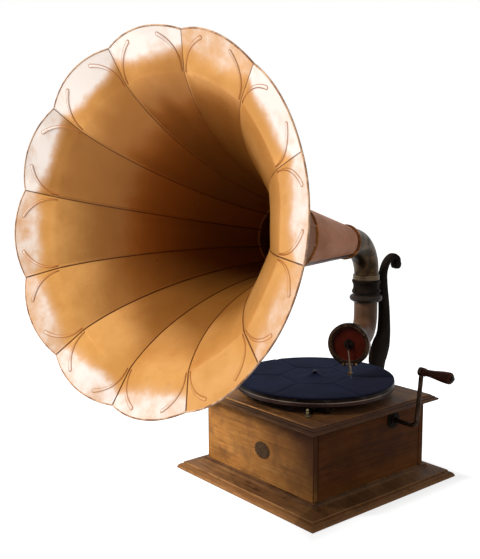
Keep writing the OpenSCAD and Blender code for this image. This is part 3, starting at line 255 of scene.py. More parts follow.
class Field:
    """A value that changes over a surface: it wraps a socket, and its sums, differences, products and
    size add Math nodes to the tree that it belongs to."""

    def __init__(self, graph, socket):
        self.graph, self.socket = graph, socket

    def __add__(self, other):
        return self.graph.math("ADD", self, other)

    def __sub__(self, other):
        return self.graph.math("SUBTRACT", self, other)

    def __rsub__(self, other):
        return self.graph.math("SUBTRACT", other, self)

    def __mul__(self, other):
        return self.graph.math("MULTIPLY", self, other)

    def __abs__(self):
        return self.graph.math("ABSOLUTE", self, 0)

    __radd__ = __add__
    __rmul__ = __mul__


class Graph:
    """A node tree, whose nodes all come from one method."""

    def __init__(self, tree):
        self.tree = tree
        tree.nodes.clear()

    def node(self, kind, settings=None, inputs=None, out=0):
        """Adds a node, its settings first, then its sockets' values or links."""
        made = self.tree.nodes.new(kind)
        for key, value in (settings or {}).items():
            setattr(made, key, value)
        for key, value in (inputs or {}).items():
            self.feed(made.inputs[key], value)
        return Field(self, made.outputs[out]) if made.outputs else None

    def feed(self, socket, value):
        """Links a field to a socket, or sets its plain value."""
        if isinstance(value, Field):
            self.tree.links.new(value.socket, socket)
        elif isinstance(value, (tuple, list)) and socket.type == "RGBA":
            socket.default_value = (*value[:3], 1)
        else:
            socket.default_value = value

    def math(self, operation, *values):
        """A Math node on values or fields."""
        return self.node("ShaderNodeMath", {"operation": operation}, dict(enumerate(values)))

    def white_rays(self):
        """1 for the rays that see the surroundings white: from the camera, from gloss, through glass."""
        sight, gloss, clear = (self.node("ShaderNodeLightPath", out="Is %s Ray" % kind)
                               for kind in ("Camera", "Glossy", "Transmission"))
        return self.math("MAXIMUM", self.math("MAXIMUM", sight, gloss), clear)


class Finish(Graph):
    """A material of one Principled shader. Plain values go on its sockets, and fields are linked. Its
    tone is the colour so far, to which later layers are added."""

    def __init__(self, name, **plain):
        self.material = bpy.data.materials.new(name)
        self.material.use_nodes = True
        super().__init__(self.material.node_tree)
        surface = self.node("ShaderNodeBsdfPrincipled")
        self.shader = surface.socket.node
        self.node("ShaderNodeOutputMaterial", None, {0: surface})
        self.place = self.node("ShaderNodeTexCoord", out="Object")
        self.set(**plain)

    def set(self, **sockets):
        """Sets the shader's sockets, named with _ for a space."""
        for key, value in sockets.items():
            self.feed(self.shader.inputs[key.replace("_", " ")], value)
        return self

    def lay(self, colour, share):
        """Lays a colour over the tone, by share."""
        self.tone = self.mix(self.tone, colour, share)
        return self.set(Base_Color=self.tone)

    def tint(self, colour, field, low, high, share=1.0):
        """Lays a colour over the tone: none of it where the field is low, share of it at high."""
        return self.lay(colour, self.span(field, low, high) * share)

    def noise(self, scale, detail=3, stretch=(1, 1, 1), shift=(0, 0, 0), rough=0.5, twist=0):
        """Noise of about 0 to 1, scale per metre, on the Object coordinates stretched by stretch."""
        where = self.node("ShaderNodeMapping", None,
                          {"Vector": self.place, "Location": shift, "Scale": stretch})
        return self.node("ShaderNodeTexNoise", None, {
            "Vector": where, "Scale": scale, "Detail": detail, "Roughness": rough, "Distortion": twist})

    def span(self, field, low, high, to_low=0.0, to_high=1.0):
        """Smooth step of a field, from to_low at low to to_high at high."""
        return self.node("ShaderNodeMapRange", {"interpolation_type": "SMOOTHSTEP"}, {
            "Value": field, "From Min": low, "From Max": high, "To Min": to_low, "To Max": to_high})

    def mix(self, first, second, share):
        """Colour between two, by share. The node's sockets 6 and 7 and its output 2 are its colours."""
        return self.node("ShaderNodeMix", {"data_type": "RGBA"}, {0: share, 6: first, 7: second}, out=2)

    def axis(self, direction, origin=(0, 0, 0)):
        """Distance in mm along a unit direction from an origin in mm."""
        offset = self.node("ShaderNodeVectorMath", {"operation": "SUBTRACT"},
                           {0: self.place, 1: tuple(c * MM for c in origin)})
        return self.node("ShaderNodeVectorMath", {"operation": "DOT_PRODUCT"},
                         {0: offset, 1: tuple(direction)}, out="Value") * 1000

    def square_gap(self, half):
        """Distance in mm inwards from the sides of an upright square: half - max(|x|, |y|)."""
        part = self.node("ShaderNodeSeparateXYZ", None, {0: self.place}).socket.node
        x, y = (abs(Field(self, part.outputs[k])) for k in (0, 1))
        return half - self.math("MAXIMUM", x, y) * 1000

    def attribute(self, name):
        """A value that the mesh carries at each point."""
        return self.node("ShaderNodeAttribute", {"attribute_name": name}, out="Fac")

    def bump(self, height, distance, strength):
        """Normals tilted by a height field of 0 to 1 that stands for distance in metres."""
        return self.node("ShaderNodeBump", None, {"Height": height, "Distance": distance,
                                                  "Strength": strength}, out="Normal")

    def to(self, *names):
        """Gives this finish to CAD nodes that stay."""
        for name in names:
            nodes[name].data.materials.clear()
            nodes[name].data.materials.append(self.material)
        return self


def srgb(r, g, b):
    """Linear colour of an 8 bit one: ((c + 0.055) / 1.055) ^ 2.4, or c / 12.92 where it is dark."""
    def line(c):
        c = c / 255
        return ((c + 0.055) / 1.055) ** 2.4 if c > 0.04045 else c / 12.92
    return (line(r), line(g), line(b))


def wood(name, dark, mid, light, grain="X", gloss=0.5, stain=0.5, shift=(0, 0, 0), edges=(), shine=0.2,
         side_wear_and_highlight=1.0):
    """Old varnished wood with its grain along one axis: soft figure, fine growth lines and pores drawn out
    along the grain, blotches of dirt, lighter wear and painted highlight at the square edges that are named
    by their half widths (the side share of them on the right side), and a bump from the pores."""
    f = Finish(name, Coat_Roughness=0.35, Coat_IOR=1.4, Specular_IOR_Level=shine)
    def along(k):
        return {"X": (1, k, k), "Y": (k, 1, k), "Z": (k, k, 1)}[grain]
    figure = f.noise(5, 4, along(4), shift, 0.6, 0.8)
    lines = f.noise(9, 4, along(34), (0.3, 0.1, 0.7), 0.6, 0.4)
    pores = f.noise(30, 2, along(50), (0.7, 0.2, 0.4), 0.5)
    blotch = f.noise(10, 5, (1, 1, 1), (0.2, 0.5, 0.9), 0.62)
    smudge = f.noise(55, 4, along(2), (0.9, 0.4, 0.1), 0.65)
    tone = figure * 0.4 + lines * 0.25 + blotch * 0.2 + smudge * 0.15
    f.tone = f.mix(dark, mid, f.span(tone, 0.4, 0.5))
    f.tint(light, tone, 0.49, 0.58, 0.85)
    pore = f.span(pores, 0.56, 0.7)
    dirt = tuple(c * 0.5 for c in dark)
    f.lay(dirt, pore * 0.3)
    f.tint(dirt, blotch * 0.7 + smudge * 0.3, 0.52, 0.66, stain)
    # The wear and painted highlight is narrower and wider along the edge with the smudges
    for half in edges:
        wear_and_highlight = f.span(abs(f.square_gap(half) - 0.5) + 4 * (smudge - 0.45), 1.4, 0.3)
        wear_and_highlight = wear_and_highlight * f.span(f.axis(RIGHT), half - 4, half - 2, 0.8, side_wear_and_highlight)
        f.lay(tuple(min(1, c * 1.9) for c in light), wear_and_highlight * 0.75)
    f.blotch = blotch
    f.set(Roughness=gloss + 0.2 * blotch, Coat_Weight=shine * (0.5 - 0.4 * pore))
    f.set(Normal=f.bump(tone * 0.5 - pore * 0.6, 0.0004, 0.6))
    return f


def metal(name, colour, worn, rough=0.35, scale=60):
    """Old plated metal: two tones in soft patches, dirt in blotches, and fine scratches in the bump."""
    f = Finish(name)
    patch = f.span(f.noise(scale, 4, rough=0.6), 0.42, 0.62)
    spot = f.span(f.noise(scale * 3.1, 5, shift=(0.4, 0.1, 0.8), rough=0.65), 0.55, 0.7)
    f.tone = f.mix(colour, worn, patch * 0.8)
    f.lay(tuple(c * 0.3 for c in worn), spot * 0.6)
    f.set(Metallic=1.0 - 0.45 * spot, Roughness=rough + 0.18 * patch + 0.25 * spot)
    f.set(Normal=f.bump(f.noise(scale * 12, 2), 0.0001, 0.4))
    return f


def enamel(name, colour, worn, rough=0.35, coat=0.5, scale=40, shine=0.1):
    """Paint on metal, in two near tones, with a few chips of the worn tone and a gloss coat."""
    f = Finish(name, Coat_Roughness=0.18, Specular_IOR_Level=shine)
    patch = f.span(f.noise(scale, 4, rough=0.6), 0.35, 0.7)
    chip = f.span(f.noise(scale * 5, 5, shift=(0.2, 0.6, 0.3), rough=0.7), 0.66, 0.72)
    f.tone = f.mix(colour, tuple(c * 0.72 for c in colour), patch)
    f.lay(worn, chip)
    f.set(Roughness=rough + 0.15 * patch, Coat_Weight=(coat - 0.4 * chip) if coat else 0.0)
    f.set(Normal=f.bump(f.noise(scale * 4, 3), 0.0004, 0.25))
    return f


# Finishes

front_oak = wood("front_oak", srgb(146, 96, 48), srgb(184, 125, 64), srgb(212, 154, 86), stain=0.5,
                 shine=0.05)
f = front_oak
side_way = f.axis(RIGHT) + 110 * (f.blotch - 0.5)
up_way = f.axis(UP)
f.tint(srgb(120, 80, 50), f.noise(22, 4, (1, 1, 1), (0.4, 0.8, 0.2), 0.6), 0.46, 0.62, 0.5)
# Darker towards the right and the top, less of it at the foot
darker_right_top = f.span(side_way, -80, 30) * 0.5 + f.span(side_way + up_way, 100, 210) * 0.45
f.lay(srgb(64, 34, 20), darker_right_top * f.span(up_way, 10, 44, 0.35, 1.0))
# Dark strips at both ends of the panel
f.tint(srgb(60, 30, 13), abs(f.axis(RIGHT)), 120.2, 120.6)

side_wood = wood("side_wood", srgb(60, 30, 12), srgb(86, 47, 19), srgb(104, 62, 29), "Y", stain=0.3,
                 shine=0.05)
f = side_wood
f.tint(srgb(128, 80, 40), f.axis(UP) + 90 * (f.blotch - 0.5), 48, 18, 0.4)

top_wood = wood("top_wood", srgb(62, 38, 18), srgb(106, 70, 38), srgb(142, 100, 58), stain=0.4,
                shift=(0.3, 0.1, 0.2), edges=(128.4,), shine=0.12, side_wear_and_highlight=0.3)
f = top_wood
f.tint(srgb(44, 26, 13), f.square_gap(TOP_HALF), 9, 7, 0.5)
# Dark lines in the moulding's two grooves: painted shade
for groove in (129.8, 133.5):
    f.tint(srgb(20, 11, 5), abs(f.square_gap(groove)), 0.9, 0.4, 0.75)
# Lighter towards the left and darker towards the right: painted light and painted shade
side_way = f.axis(RIGHT) + 60 * (f.blotch - 0.5)
f.tint(srgb(178, 128, 80), side_way, -20, -100, 0.35)
f.tint(srgb(62, 32, 16), side_way, 40, 130, 0.5)

base_wood = wood("base_wood", srgb(58, 35, 18), srgb(104, 70, 41), srgb(140, 99, 60), stain=0.4,
                 shift=(0.5, 0.1, 0.6), edges=(BASE_HALF, 150), shine=0.12, side_wear_and_highlight=0.7)
f = base_wood
f.tint(srgb(150, 100, 56), f.square_gap(150), 0.5, -1.5, 0.4)
# A dark line in the groove by the case's foot: painted shade
f.tint(srgb(30, 15, 8), abs(f.square_gap(125.5)), 1.1, 0.4, 0.6)
# Darker on the right side of the base: painted shade
f.tint(srgb(48, 28, 12), f.axis(RIGHT) + 20 * (f.blotch - 0.5), 121, 126, 0.35)

block_wood = wood("block_wood", srgb(120, 90, 56), srgb(160, 124, 80), srgb(190, 152, 104), "Z", stain=0.2)
grip_wood = wood("grip_wood", srgb(30, 13, 8), srgb(56, 26, 16), srgb(84, 44, 28), gloss=0.35, stain=0.2,
                 shine=0.05)

# Where a CAD node holds parts of two looks, a second colour sets in at a height or depth in mm
brass = metal("brass", srgb(196, 160, 96), srgb(150, 112, 60), 0.3)
dull_nickel = metal("dull_nickel", srgb(132, 116, 98), srgb(86, 68, 52), 0.34, 50)
aged_nickel = metal("aged_nickel", srgb(67, 50, 31), srgb(31, 22, 13), 0.36, 42)
rim_nickel = metal("rim_nickel", srgb(24, 18, 15), srgb(12, 9, 8), 0.4, 30)
rim_up = rim_nickel.axis(UP)
rim_nickel.tint(srgb(50, 34, 30), rim_up, 152, 151.4, 0.8)
# A light line round the rim at 152 mm: painted highlight
rim_nickel.tint(srgb(128, 112, 98), abs(rim_up - 152), 0.7, 0.3, 0.75)
sound_nickel = metal("sound_nickel", srgb(52, 36, 26), srgb(26, 15, 10), 0.34, 90)
old_brass = metal("old_brass", srgb(158, 146, 112), srgb(104, 90, 62), 0.36, 80)
# The lever is darker behind its knob: painted shadow of the turntable
old_brass.tint(srgb(40, 28, 18), old_brass.axis(BACK), -96, -92)
steel = metal("steel", srgb(170, 166, 158), srgb(120, 112, 100), 0.3)
dark_steel = metal("dark_steel", srgb(58, 44, 34), srgb(34, 24, 17), 0.42, 70)
black_steel = metal("black_steel", srgb(30, 22, 17), srgb(16, 11, 8), 0.4, 70)
bar_steel = metal("bar_steel", srgb(30, 22, 17), srgb(16, 11, 8), 0.4, 70)
bar_steel.tint(srgb(112, 94, 78), bar_steel.axis(UP), 207, 205.5)
pin_steel = metal("pin_steel", srgb(160, 154, 146), srgb(120, 112, 100), 0.3)
pin_steel.tint(srgb(26, 26, 36), pin_steel.axis(UP), 158, 159.5)
screw_brass = metal("screw_brass", srgb(146, 114, 64), srgb(90, 64, 34), 0.36, 80)
screw_brass.tint(srgb(58, 42, 30), screw_brass.axis(UP), 188, 192)
bright_steel = metal("bright_steel", srgb(206, 206, 206), srgb(170, 168, 164), 0.2, 90)
bronze = metal("bronze", srgb(122, 72, 30), srgb(68, 38, 15), 0.32)
bronze.tint(srgb(88, 74, 56), bronze.axis(UP), 332, 326)
spring_steel = metal("spring_steel", srgb(96, 108, 128), srgb(62, 70, 84), 0.28)

old_decal = enamel("old_decal", srgb(72, 52, 34), srgb(156, 126, 84), 0.6, 0.0, 300)
motor_iron = enamel("motor_iron", srgb(112, 108, 102), srgb(70, 60, 50), 0.5, 0.1)
black_iron = enamel("black_iron", srgb(29, 22, 17), srgb(60, 43, 29), 0.55, 0.0, 36, 0.03)
brown_arm = enamel("brown_arm", srgb(84, 58, 40), srgb(120, 88, 64), 0.4, 0.06, 24)
brown_arm.tint(srgb(38, 30, 24), brown_arm.axis(UP), 265.5, 266.5)
pad_leather = enamel("pad_leather", srgb(70, 42, 26), srgb(96, 64, 40), 0.8, 0.0)
white_rubber = enamel("white_rubber", srgb(66, 46, 34), srgb(90, 66, 48), 0.6, 0.0)
red_fibre = enamel("red_fibre", srgb(62, 17, 8), srgb(40, 12, 7), 0.5, 0.0, 60, 0.05)

# The cone is brown inside. Outside, a dark line runs along its underside, 35 degrees off the lowest line
# and 5 to either side of the plane that the mixed direction is square to.
mauve_enamel = enamel("mauve_enamel", srgb(200, 134, 98), srgb(156, 102, 70), 0.42, 0.03, 22, 0.05)
f = mauve_enamel
horn_root = (0, COLLAR_Y, CORNER_Z)
horn_side, horn_up, horn_way = at_horn(np.eye(3)) - at_horn(np.zeros(3))
seam = f.span(abs(f.axis(0.82 * horn_side + 0.572 * horn_up, horn_root)), 5.6, 4.6)
f.lay(srgb(36, 22, 12), seam * f.span(f.axis(horn_up, horn_root), -4, -8) * 0.95)
f.set(Base_Color=f.mix(srgb(92, 50, 20), f.tone, f.attribute("outside")))

navy_felt = Finish("navy_felt", Roughness=0.95, Sheen_Weight=0.04, Sheen_Roughness=0.6,
                   Specular_IOR_Level=0.1, Sheen_Tint=(*srgb(120, 130, 170), 1))
fluff = navy_felt.noise(700, 3)
cloud = navy_felt.noise(28, 4, rough=0.6)
navy_felt.set(Base_Color=navy_felt.mix(srgb(13, 15, 28), srgb(22, 25, 42),
                                       navy_felt.span(cloud * 0.6 + fluff * 0.4, 0.35, 0.68)),
              Normal=navy_felt.bump(fluff + 0.4 * cloud, 0.0006, 0.7))

# The petals: amber lacquer, painted shade towards the throat in two stages, painted light deepest in
amber_enamel = Finish("amber_enamel", Coat_Roughness=0.12, Coat_IOR=1.5, Specular_IOR_Level=0.18)
f = amber_enamel
horn_s = f.axis(horn_way, horn_root)
seam_gap = f.attribute("seam_gap")
rib_gap = f.attribute("rib_gap")
outside = f.attribute("outside")
mottle = f.noise(13, 4, rough=0.6)
cloud = f.noise(34, 4, shift=(0.6, 0.1, 0.3), rough=0.6)
fine = f.noise(80, 5, shift=(0.3, 0.3, 0.1), rough=0.62)
f.tone = f.mix(srgb(204, 143, 72), srgb(218, 158, 88), f.span(mottle, 0.35, 0.65))
f.tint(srgb(176, 108, 44), fine, 0.55, 0.75, 0.2)
# Each stage runs from low to high; the reach shifts the painted shade per petal and across it
reach = horn_s + f.attribute("shade_reach") + 24 * (mottle - 0.5)
for colour, low, high, share in ((srgb(142, 86, 30), 508, 458, 0.78), (srgb(128, 80, 30), 465, 360, 0.7),
                                 (srgb(206, 118, 50), 310, 150, 0.9)):
    f.tint(colour, reach, low, high, share)
# A light line on the throat's ring: painted highlight
f.tint(srgb(240, 176, 110), abs(horn_s - 239), 2, 0.8, 0.8)
# Outside the crease, painted reflection: a whitish tone, with less metal and more coat
reflection = f.attribute("reflection")
reflection_mask = f.span(reflection + 0.5 * (cloud - 0.5) + 0.08 * (fine - 0.5), 0.05, 0.85)
f.lay(f.mix(srgb(222, 176, 138), srgb(246, 236, 228), f.span(cloud + 0.8 * reflection, 0.7, 1.2)), reflection_mask * 0.9)
# A darker line round each rib's foot: painted shade
f.tint(srgb(170, 104, 52), abs(rib_gap), 0.85, 0.3, 0.8)
f.tint(srgb(84, 42, 16), seam_gap + 0.8 * (fine - 0.5), 1.1, 0.4, 0.92)
back = f.mix(srgb(178, 120, 88), srgb(136, 90, 62), f.span(mottle, 0.4, 0.66))
back = f.mix(back, srgb(122, 70, 28), f.span(horn_s + 60 * (mottle - 0.5), 450, 290) * 0.85)
f.set(Base_Color=f.mix(f.tone, back, outside), Roughness=0.24 + 0.12 * fine + 0.2 * outside,
      Metallic=(0.5 - 0.1 * reflection_mask) * (1 - outside), Coat_Weight=(0.06 + 0.24 * reflection_mask) * (1 - outside))
f.set(Normal=f.bump(mottle + 0.3 * cloud, 0.004, 0.2))

rim_lacquer = Finish("rim_lacquer", Roughness=0.4)
f = rim_lacquer
f.set(Base_Color=f.mix(srgb(206, 164, 128), srgb(128, 80, 46),
                       f.span(f.noise(46, 4, rough=0.7), 0.4, 0.62)),
      Normal=f.bump(f.noise(300, 2), 0.0002, 0.4))


# Case. Its profiles are corners (outwards, up), each eased by the reach in the list that follows.

edge = rounded([[0, 0], [BASE_HALF - 1.2, 0], [BASE_HALF, 0.6], [BASE_HALF, 2], [BASE_HALF - 1.4, 5.2],
                [BASE_HALF - 4.2, 7.6], [149.4, BASE_T - 0.2], [148, BASE_T], [0, BASE_T]],
               [0, .6, .6, 1, 2, 2, 1, .5, 0])
piece("base_board_shaped", square_ring(edge, closed=False), "base", base_wood, ["base_board"])
slope = rounded([[HALF, BASE_T], [149.6, BASE_T], [150, BASE_T + 0.4],
                 [150, BASE_T + 1.4], [149.2, BASE_T + 2.1], [146.5, BASE_T + 2.4],
                 [137, BASE_T + 4.2], [130, BASE_T + 6.4], [127.6, BASE_T + 7.6],
                 [127.2, BASE_T + 8.6], [126.4, BASE_T + 9.1], [126, BASE_T + 10.2], [124.6, BASE_T + 11.3],
                 [122.6, BASE_T + 11.6], [HALF, BASE_T + 12.2]],
                [0, .3, .3, .5, .6, 2, 4, 2, .5, .4, .3, .8, .8, .6, 0], closed=True, steps=4)
piece("base_moulding_cut", square_ring(slope), "base", base_wood, ["base_moulding"])
piece("front_panel_board", board([-HALF, -HALF, BASE_T], [HALF, -HALF + 10, CASE_Z], 0.7), "base",
      front_oak, ["front_panel"])
piece("back_panel_board", board([-HALF, HALF - 10, BASE_T], [HALF, HALF, CASE_Z], 0.7), "base",
      side_wood, ["back_panel"])
for side, label in ((-1, "left"), (1, "right")):
    low = [min(side * HALF, side * (HALF - 10)), -HALF + 10, BASE_T]
    high = [max(side * HALF, side * (HALF - 10)), HALF - 10, CASE_Z]
    piece(label + "_panel_board", board(low, high, 0.5), "base", side_wood, [label + "_panel"])
lid = rounded([[0, CASE_Z], [TOP_HALF - 2, CASE_Z], [TOP_HALF, CASE_Z + 0.6], [TOP_HALF, CASE_Z + 2.6],
               [TOP_HALF - 1.6, CASE_Z + 4.0], [TOP_HALF - 3.4, CASE_Z + 3.8],
               [TOP_HALF - 4.0, CASE_Z + 5.6], [TOP_HALF - 5.8, CASE_Z + 6.6],
               [TOP_HALF - 7.2, CASE_Z + 6.4], [TOP_HALF - 8.0, CASE_Z + 7.8],
               [TOP_HALF - 9.2, CASE_Z + 8.4], [TOP_HALF - 9.6, TOP_Z], [0, TOP_Z]],
              [0, 1, 1, 1.2, 1, .6, 1, .8, .6, .6, .4, .3, 0], steps=4)
piece("top_board_cut", square_ring(lid, closed=False), "base", top_wood, ["top_board"])

# Horn

# Steps along the flare's profile, of its easing, along a rib and along a petal's rim. FAR is a distance
# in mm out of reach of every rib and seam, and SEAM_OFF is added to the seam's distance on the outer
# sheet, so that the dark line fades across the sheet's edge.
PROFILE_STEPS = 800
EASE_STEPS = 6
RIB_STEPS = 48
RIM_STEPS = 48
FAR = 9.0
SEAM_OFF = 40.0


def flare_profile():
    """Profile (s, r) of the flare at even steps: a Bezier curve from throat to crease, then straight
    to the rim, with the kink between them eased by a running mean over EASE_STEPS to either side."""
    index = np.arange(PROFILE_STEPS + 1)
    t = (index / PROFILE_STEPS)[:, None]
    line = ((1 - t) ** 3 * FLARE[0] + 3 * (1 - t) ** 2 * t * FLARE[1] + 3 * (1 - t) * t ** 2 * FLARE[2]
            + t ** 3 * FLARE[3])
    length = np.concatenate([[0], np.cumsum(np.linalg.norm(np.diff(line, axis=0), axis=1))])
    bend = np.searchsorted(length, length[-1] - CREASE)
    share = ((length - length[bend]) / (length[-1] - length[bend])).clip(0, 1)[:, None]
    line = np.where(index[:, None] > bend, line[bend] + (line[-1] - line[bend]) * share, line)
    even = np.linspace(0, length[-1], PROFILE_STEPS + 1)
    line = np.stack([np.interp(even, length, line[:, k]) for k in (0, 1)], -1)
    wide = np.pad(line, ((EASE_STEPS, EASE_STEPS), (0, 0)), mode="reflect", reflect_type="odd")
    window = 2 * EASE_STEPS + 1
    return sum(wide[k:k + PROFILE_STEPS + 1] for k in range(window)) / window


PROFILE = flare_profile()
PROFILE_WAY = tangents(PROFILE)


def petal_at(q, u, lift):
    """Point of a petal, centred on angle 0: q from throat to rim by length, u from seam to seam, lift
    outwards. The edge runs out by SCALLOP (1 - u^2) q^8, and the middle lies inside the arc by
    PETAL_FLAT (1 - u^2) times the radius as a share of the mouth's, eased in from the throat."""
    at, index = np.clip(q, 0, 1) * PROFILE_STEPS, np.arange(PROFILE_STEPS + 1)
    p = np.stack([np.interp(at, index, PROFILE[:, k]) for k in (0, 1)], -1)
    way = np.stack([np.interp(at, index, PROFILE_WAY[:, k]) for k in (0, 1)], -1)
    out = np.stack([-way[..., 1], way[..., 0]], -1)
    rise = 1 - u ** 2
    ease = np.clip(q / 0.3, 0, 1)
    sink = PETAL_FLAT * rise * p[..., 1] / FLARE[3, 1] * ease * ease * (3 - 2 * ease)
    p = p + way * (SCALLOP * rise * q ** 8)[..., None] + out * (lift - sink)[..., None]
    a = PETAL_ANGLE / 2 * u
    return np.stack([p[..., 1] * np.cos(a), p[..., 1] * np.sin(a), p[..., 0]], -1)


def quadratic(a, b, c, q):
    """Quadratic Bezier curve: (1 - q)^2 a + 2 (1 - q) q b + q^2 c."""
    return (1 - q) ** 2 * a + 2 * (1 - q) * q * b + q ** 2 * c


def rib_field(gap, u):
    """Distance to the nearer of two embossed ribs: from its middle as a share of its half width, and
    past its side in mm, less than 0 on it. Each rib follows a quadratic curve in (share of the
    petal's half width, gap to the rim) and widens from 0.7 to 2.2 half wide at its end. The petal is
    57 half wide at the rim and narrows with the gap."""
    share, past = np.full_like(gap, FAR), np.full_like(gap, FAR)
    for side in (-1, 1):
        q = np.linspace(0, 1, RIB_STEPS + 1)[:, None, None]
        curve_u, curve_gap = quadratic(0.93, 0.93, 0.42, q), quadratic(46, 22, 9, q)
        half_wide = 57 * (1 - gap / 330)
        away = np.hypot((u * side - curve_u) * half_wide, gap - curve_gap)
        near = away.argmin(0)
        d = np.take_along_axis(away, near[None], 0)[0]
        wide = 0.7 + 1.5 * (near / RIB_STEPS) ** 0.8
        share = np.minimum(share, d / wide)
        past = np.minimum(past, d - wide)
    return share, past


def seam_side(u, seam):
    """Distance to the seam at u = 1 only."""
    return np.where(u > 0, seam, FAR)


# How strong the painted reflection is outside each petal's crease, how far its painted shade stays back in
# mm, and how much further at the seam to the next petal
REFLECTION = [0.85, 0.5, 0.85, 0.95, 0.8, 0.6, 0.6, 0.7, 0.7, 0.15, 0.45, 0.68]
SHADE_SHIFT = [10, -22, -34, -30, -48, -12, -6, 8, 16, 22, 24, 18]
SHADE_SKEW = [0, 8, 12, 8, 6, 0, -14, -18, -18, -14, 0, 0]


def petal_part(i):
    """Inner and outer sheet of a petal, joined along its edges, and the fields of its points. The
    inner one has ribs that stand 1.3 (1 - share^2) high, and dents, sums of products of two sines that
    fade out at the rim and the seams. It laps 0.5 under beside the seam at u = 1, and there the outer
    one has a fold that stands 1.2 out and is 4 wide. Rows are closer past 0.82 of the length, where
    the ribs are, and columns are closer at the seams."""
    t = np.concatenate([np.linspace(0, 0.82, 28, endpoint=False), np.linspace(0.82, 1, 84)])
    even = np.linspace(-1, 1, 129)
    u = np.sin(even * math.pi / 2) * 0.35 + even * 0.65
    t, u = np.meshgrid(t, u, indexing="ij")
    plain = petal_at(t, u, 0 * t)
    line = np.linalg.norm(np.diff(plain, axis=0), axis=-1)
    gap = np.vstack([np.cumsum(line[::-1], 0)[::-1], np.zeros(u.shape[1])])
    seam = np.linalg.norm(plain[..., :2], axis=-1) * PETAL_ANGLE / 2 * (1 - np.abs(u))
    share, past = rib_field(gap, u)
    rib = np.clip(1 - share ** 2, 0, 1)
    draw = np.random.default_rng(40 + i)
    dent = np.zeros_like(t)
    for _ in range(5):
        k, m, phase = draw.uniform(2, 9), draw.uniform(0.6, 3.0), draw.uniform(0, 6.28, 2)
        dent += draw.uniform(0.1, 0.45) * np.sin(k * t + phase[0]) * np.sin(m * u * 2 + phase[1])
    dent *= np.clip(seam / 12, 0, 1) * np.clip(gap / 8, 0, 1) * t
    lap = np.clip((2.4 - seam_side(u, seam)) / 0.4, 0, 1)
    inner = petal_at(t, u, dent - 1.3 * rib - 0.5 * lap)
    fold = np.clip((seam_side(u, seam) - 4.0) / -0.6, 0, 1)
    outer = petal_at(t, u, dent + SHEET_T + 1.2 * fold)
    rows, columns = t.shape
    shell_points, a = grid(inner)
    other_points, b = grid(outer)
    index = np.arange(rows * columns).reshape(rows, columns)
    border = np.concatenate([index[0, :-1], index[:-1, -1], index[-1, :0:-1], index[:0:-1, 0]])
    after = np.roll(border, -1)
    edge = np.stack([border, after, after + rows * columns, border + rows * columns], -1)
    points = np.vstack([shell_points, other_points])
    quads = np.vstack([a, b[:, ::-1] + rows * columns, edge])
    turn = SEAM_TURN + PETAL_ANGLE * (i - 0.5)
    c, s = math.cos(turn), math.sin(turn)
    points = at_horn(points @ np.array([[c, s, 0], [-s, c, 0], [0, 0, 1]]))
    zero, one = np.zeros(t.size), np.ones(t.size)
    reflection = REFLECTION[i - 1] * np.clip((CREASE - 1 - gap - 16 * np.abs(u) ** 3) / 20, 0, 1)
    fields = {"seam_gap": np.concatenate([seam.ravel(), seam.ravel() + SEAM_OFF]),
              "rib_gap": np.concatenate([past.ravel(), zero + FAR]),
              "reflection": np.concatenate([reflection.ravel(), zero]),
              "shade_reach": np.tile((SHADE_SHIFT[i - 1] + SHADE_SKEW[i - 1] * u).ravel(), 2),
              "outside": np.concatenate([zero, one])}
    return (points, quads), fields


for i in range(1, PETALS + 1):
    part, fields = petal_part(i)
    piece("petal_%02d" % i, part, "horn", amber_enamel, ["horn_petal_%02d" % i], 50, fields)

# Rim wire: a tube of radius 1.1 along the petals' outer edge, its middle 0.6 outside it

count = PETALS * RIM_STEPS
u = 2 * (np.arange(count) % RIM_STEPS) / RIM_STEPS - 1
rim = petal_at(np.ones(count), u, np.full(count, SHEET_T / 2))
angle = SEAM_TURN + (np.arange(count) // RIM_STEPS) * PETAL_ANGLE + PETAL_ANGLE / 2
c, s = np.cos(angle), np.sin(angle)
wire = np.stack([rim[:, 0] * c - rim[:, 1] * s, rim[:, 0] * s + rim[:, 1] * c, rim[:, 2]], -1)
radial = np.stack([wire[:, 0], wire[:, 1], 0 * u], -1)
radial /= np.linalg.norm(radial, axis=1, keepdims=True)
ring = circle(12)
tube = wire[:, None] + 1.1 * (ring[:, :1] * radial[:, None] + ring[:, 1:] * UP) + 0.6 * radial[:, None]
piece("rim_bead", grid(at_horn(tube), loop_rows=True, loop_columns=True), "horn", rim_lacquer,
      ["rim_wire"], 60)

# Cone: straight walls, outside and inside, turned about the horn's axis

CONE_STEPS, CONE_SIDES = 30, 128
cone = np.array([[CONE_R, CONE_S], [THROAT_R, THROAT_S], [THROAT_R - SHEET_T, THROAT_S],
                 [CONE_R - SHEET_T, CONE_S]])
steps = np.linspace(0, 1, CONE_STEPS)[:, None]
cone_wall = np.vstack([cone[0] + (cone[1] - cone[0]) * steps, cone[2] + (cone[3] - cone[2]) * steps])
piece("cone_tube", turned(cone_wall, at_horn, CONE_SIDES), "horn", mauve_enamel,
      ["horn_cone"], fields={"outside": np.repeat([1.0, 0.0], CONE_STEPS * CONE_SIDES)})

# Bracket. The stem's sections are superellipses, 7 half wide, and each row here is (y, z, half depth);
# a Catmull-Rom curve joins them. The cup's profile is (radius, up).

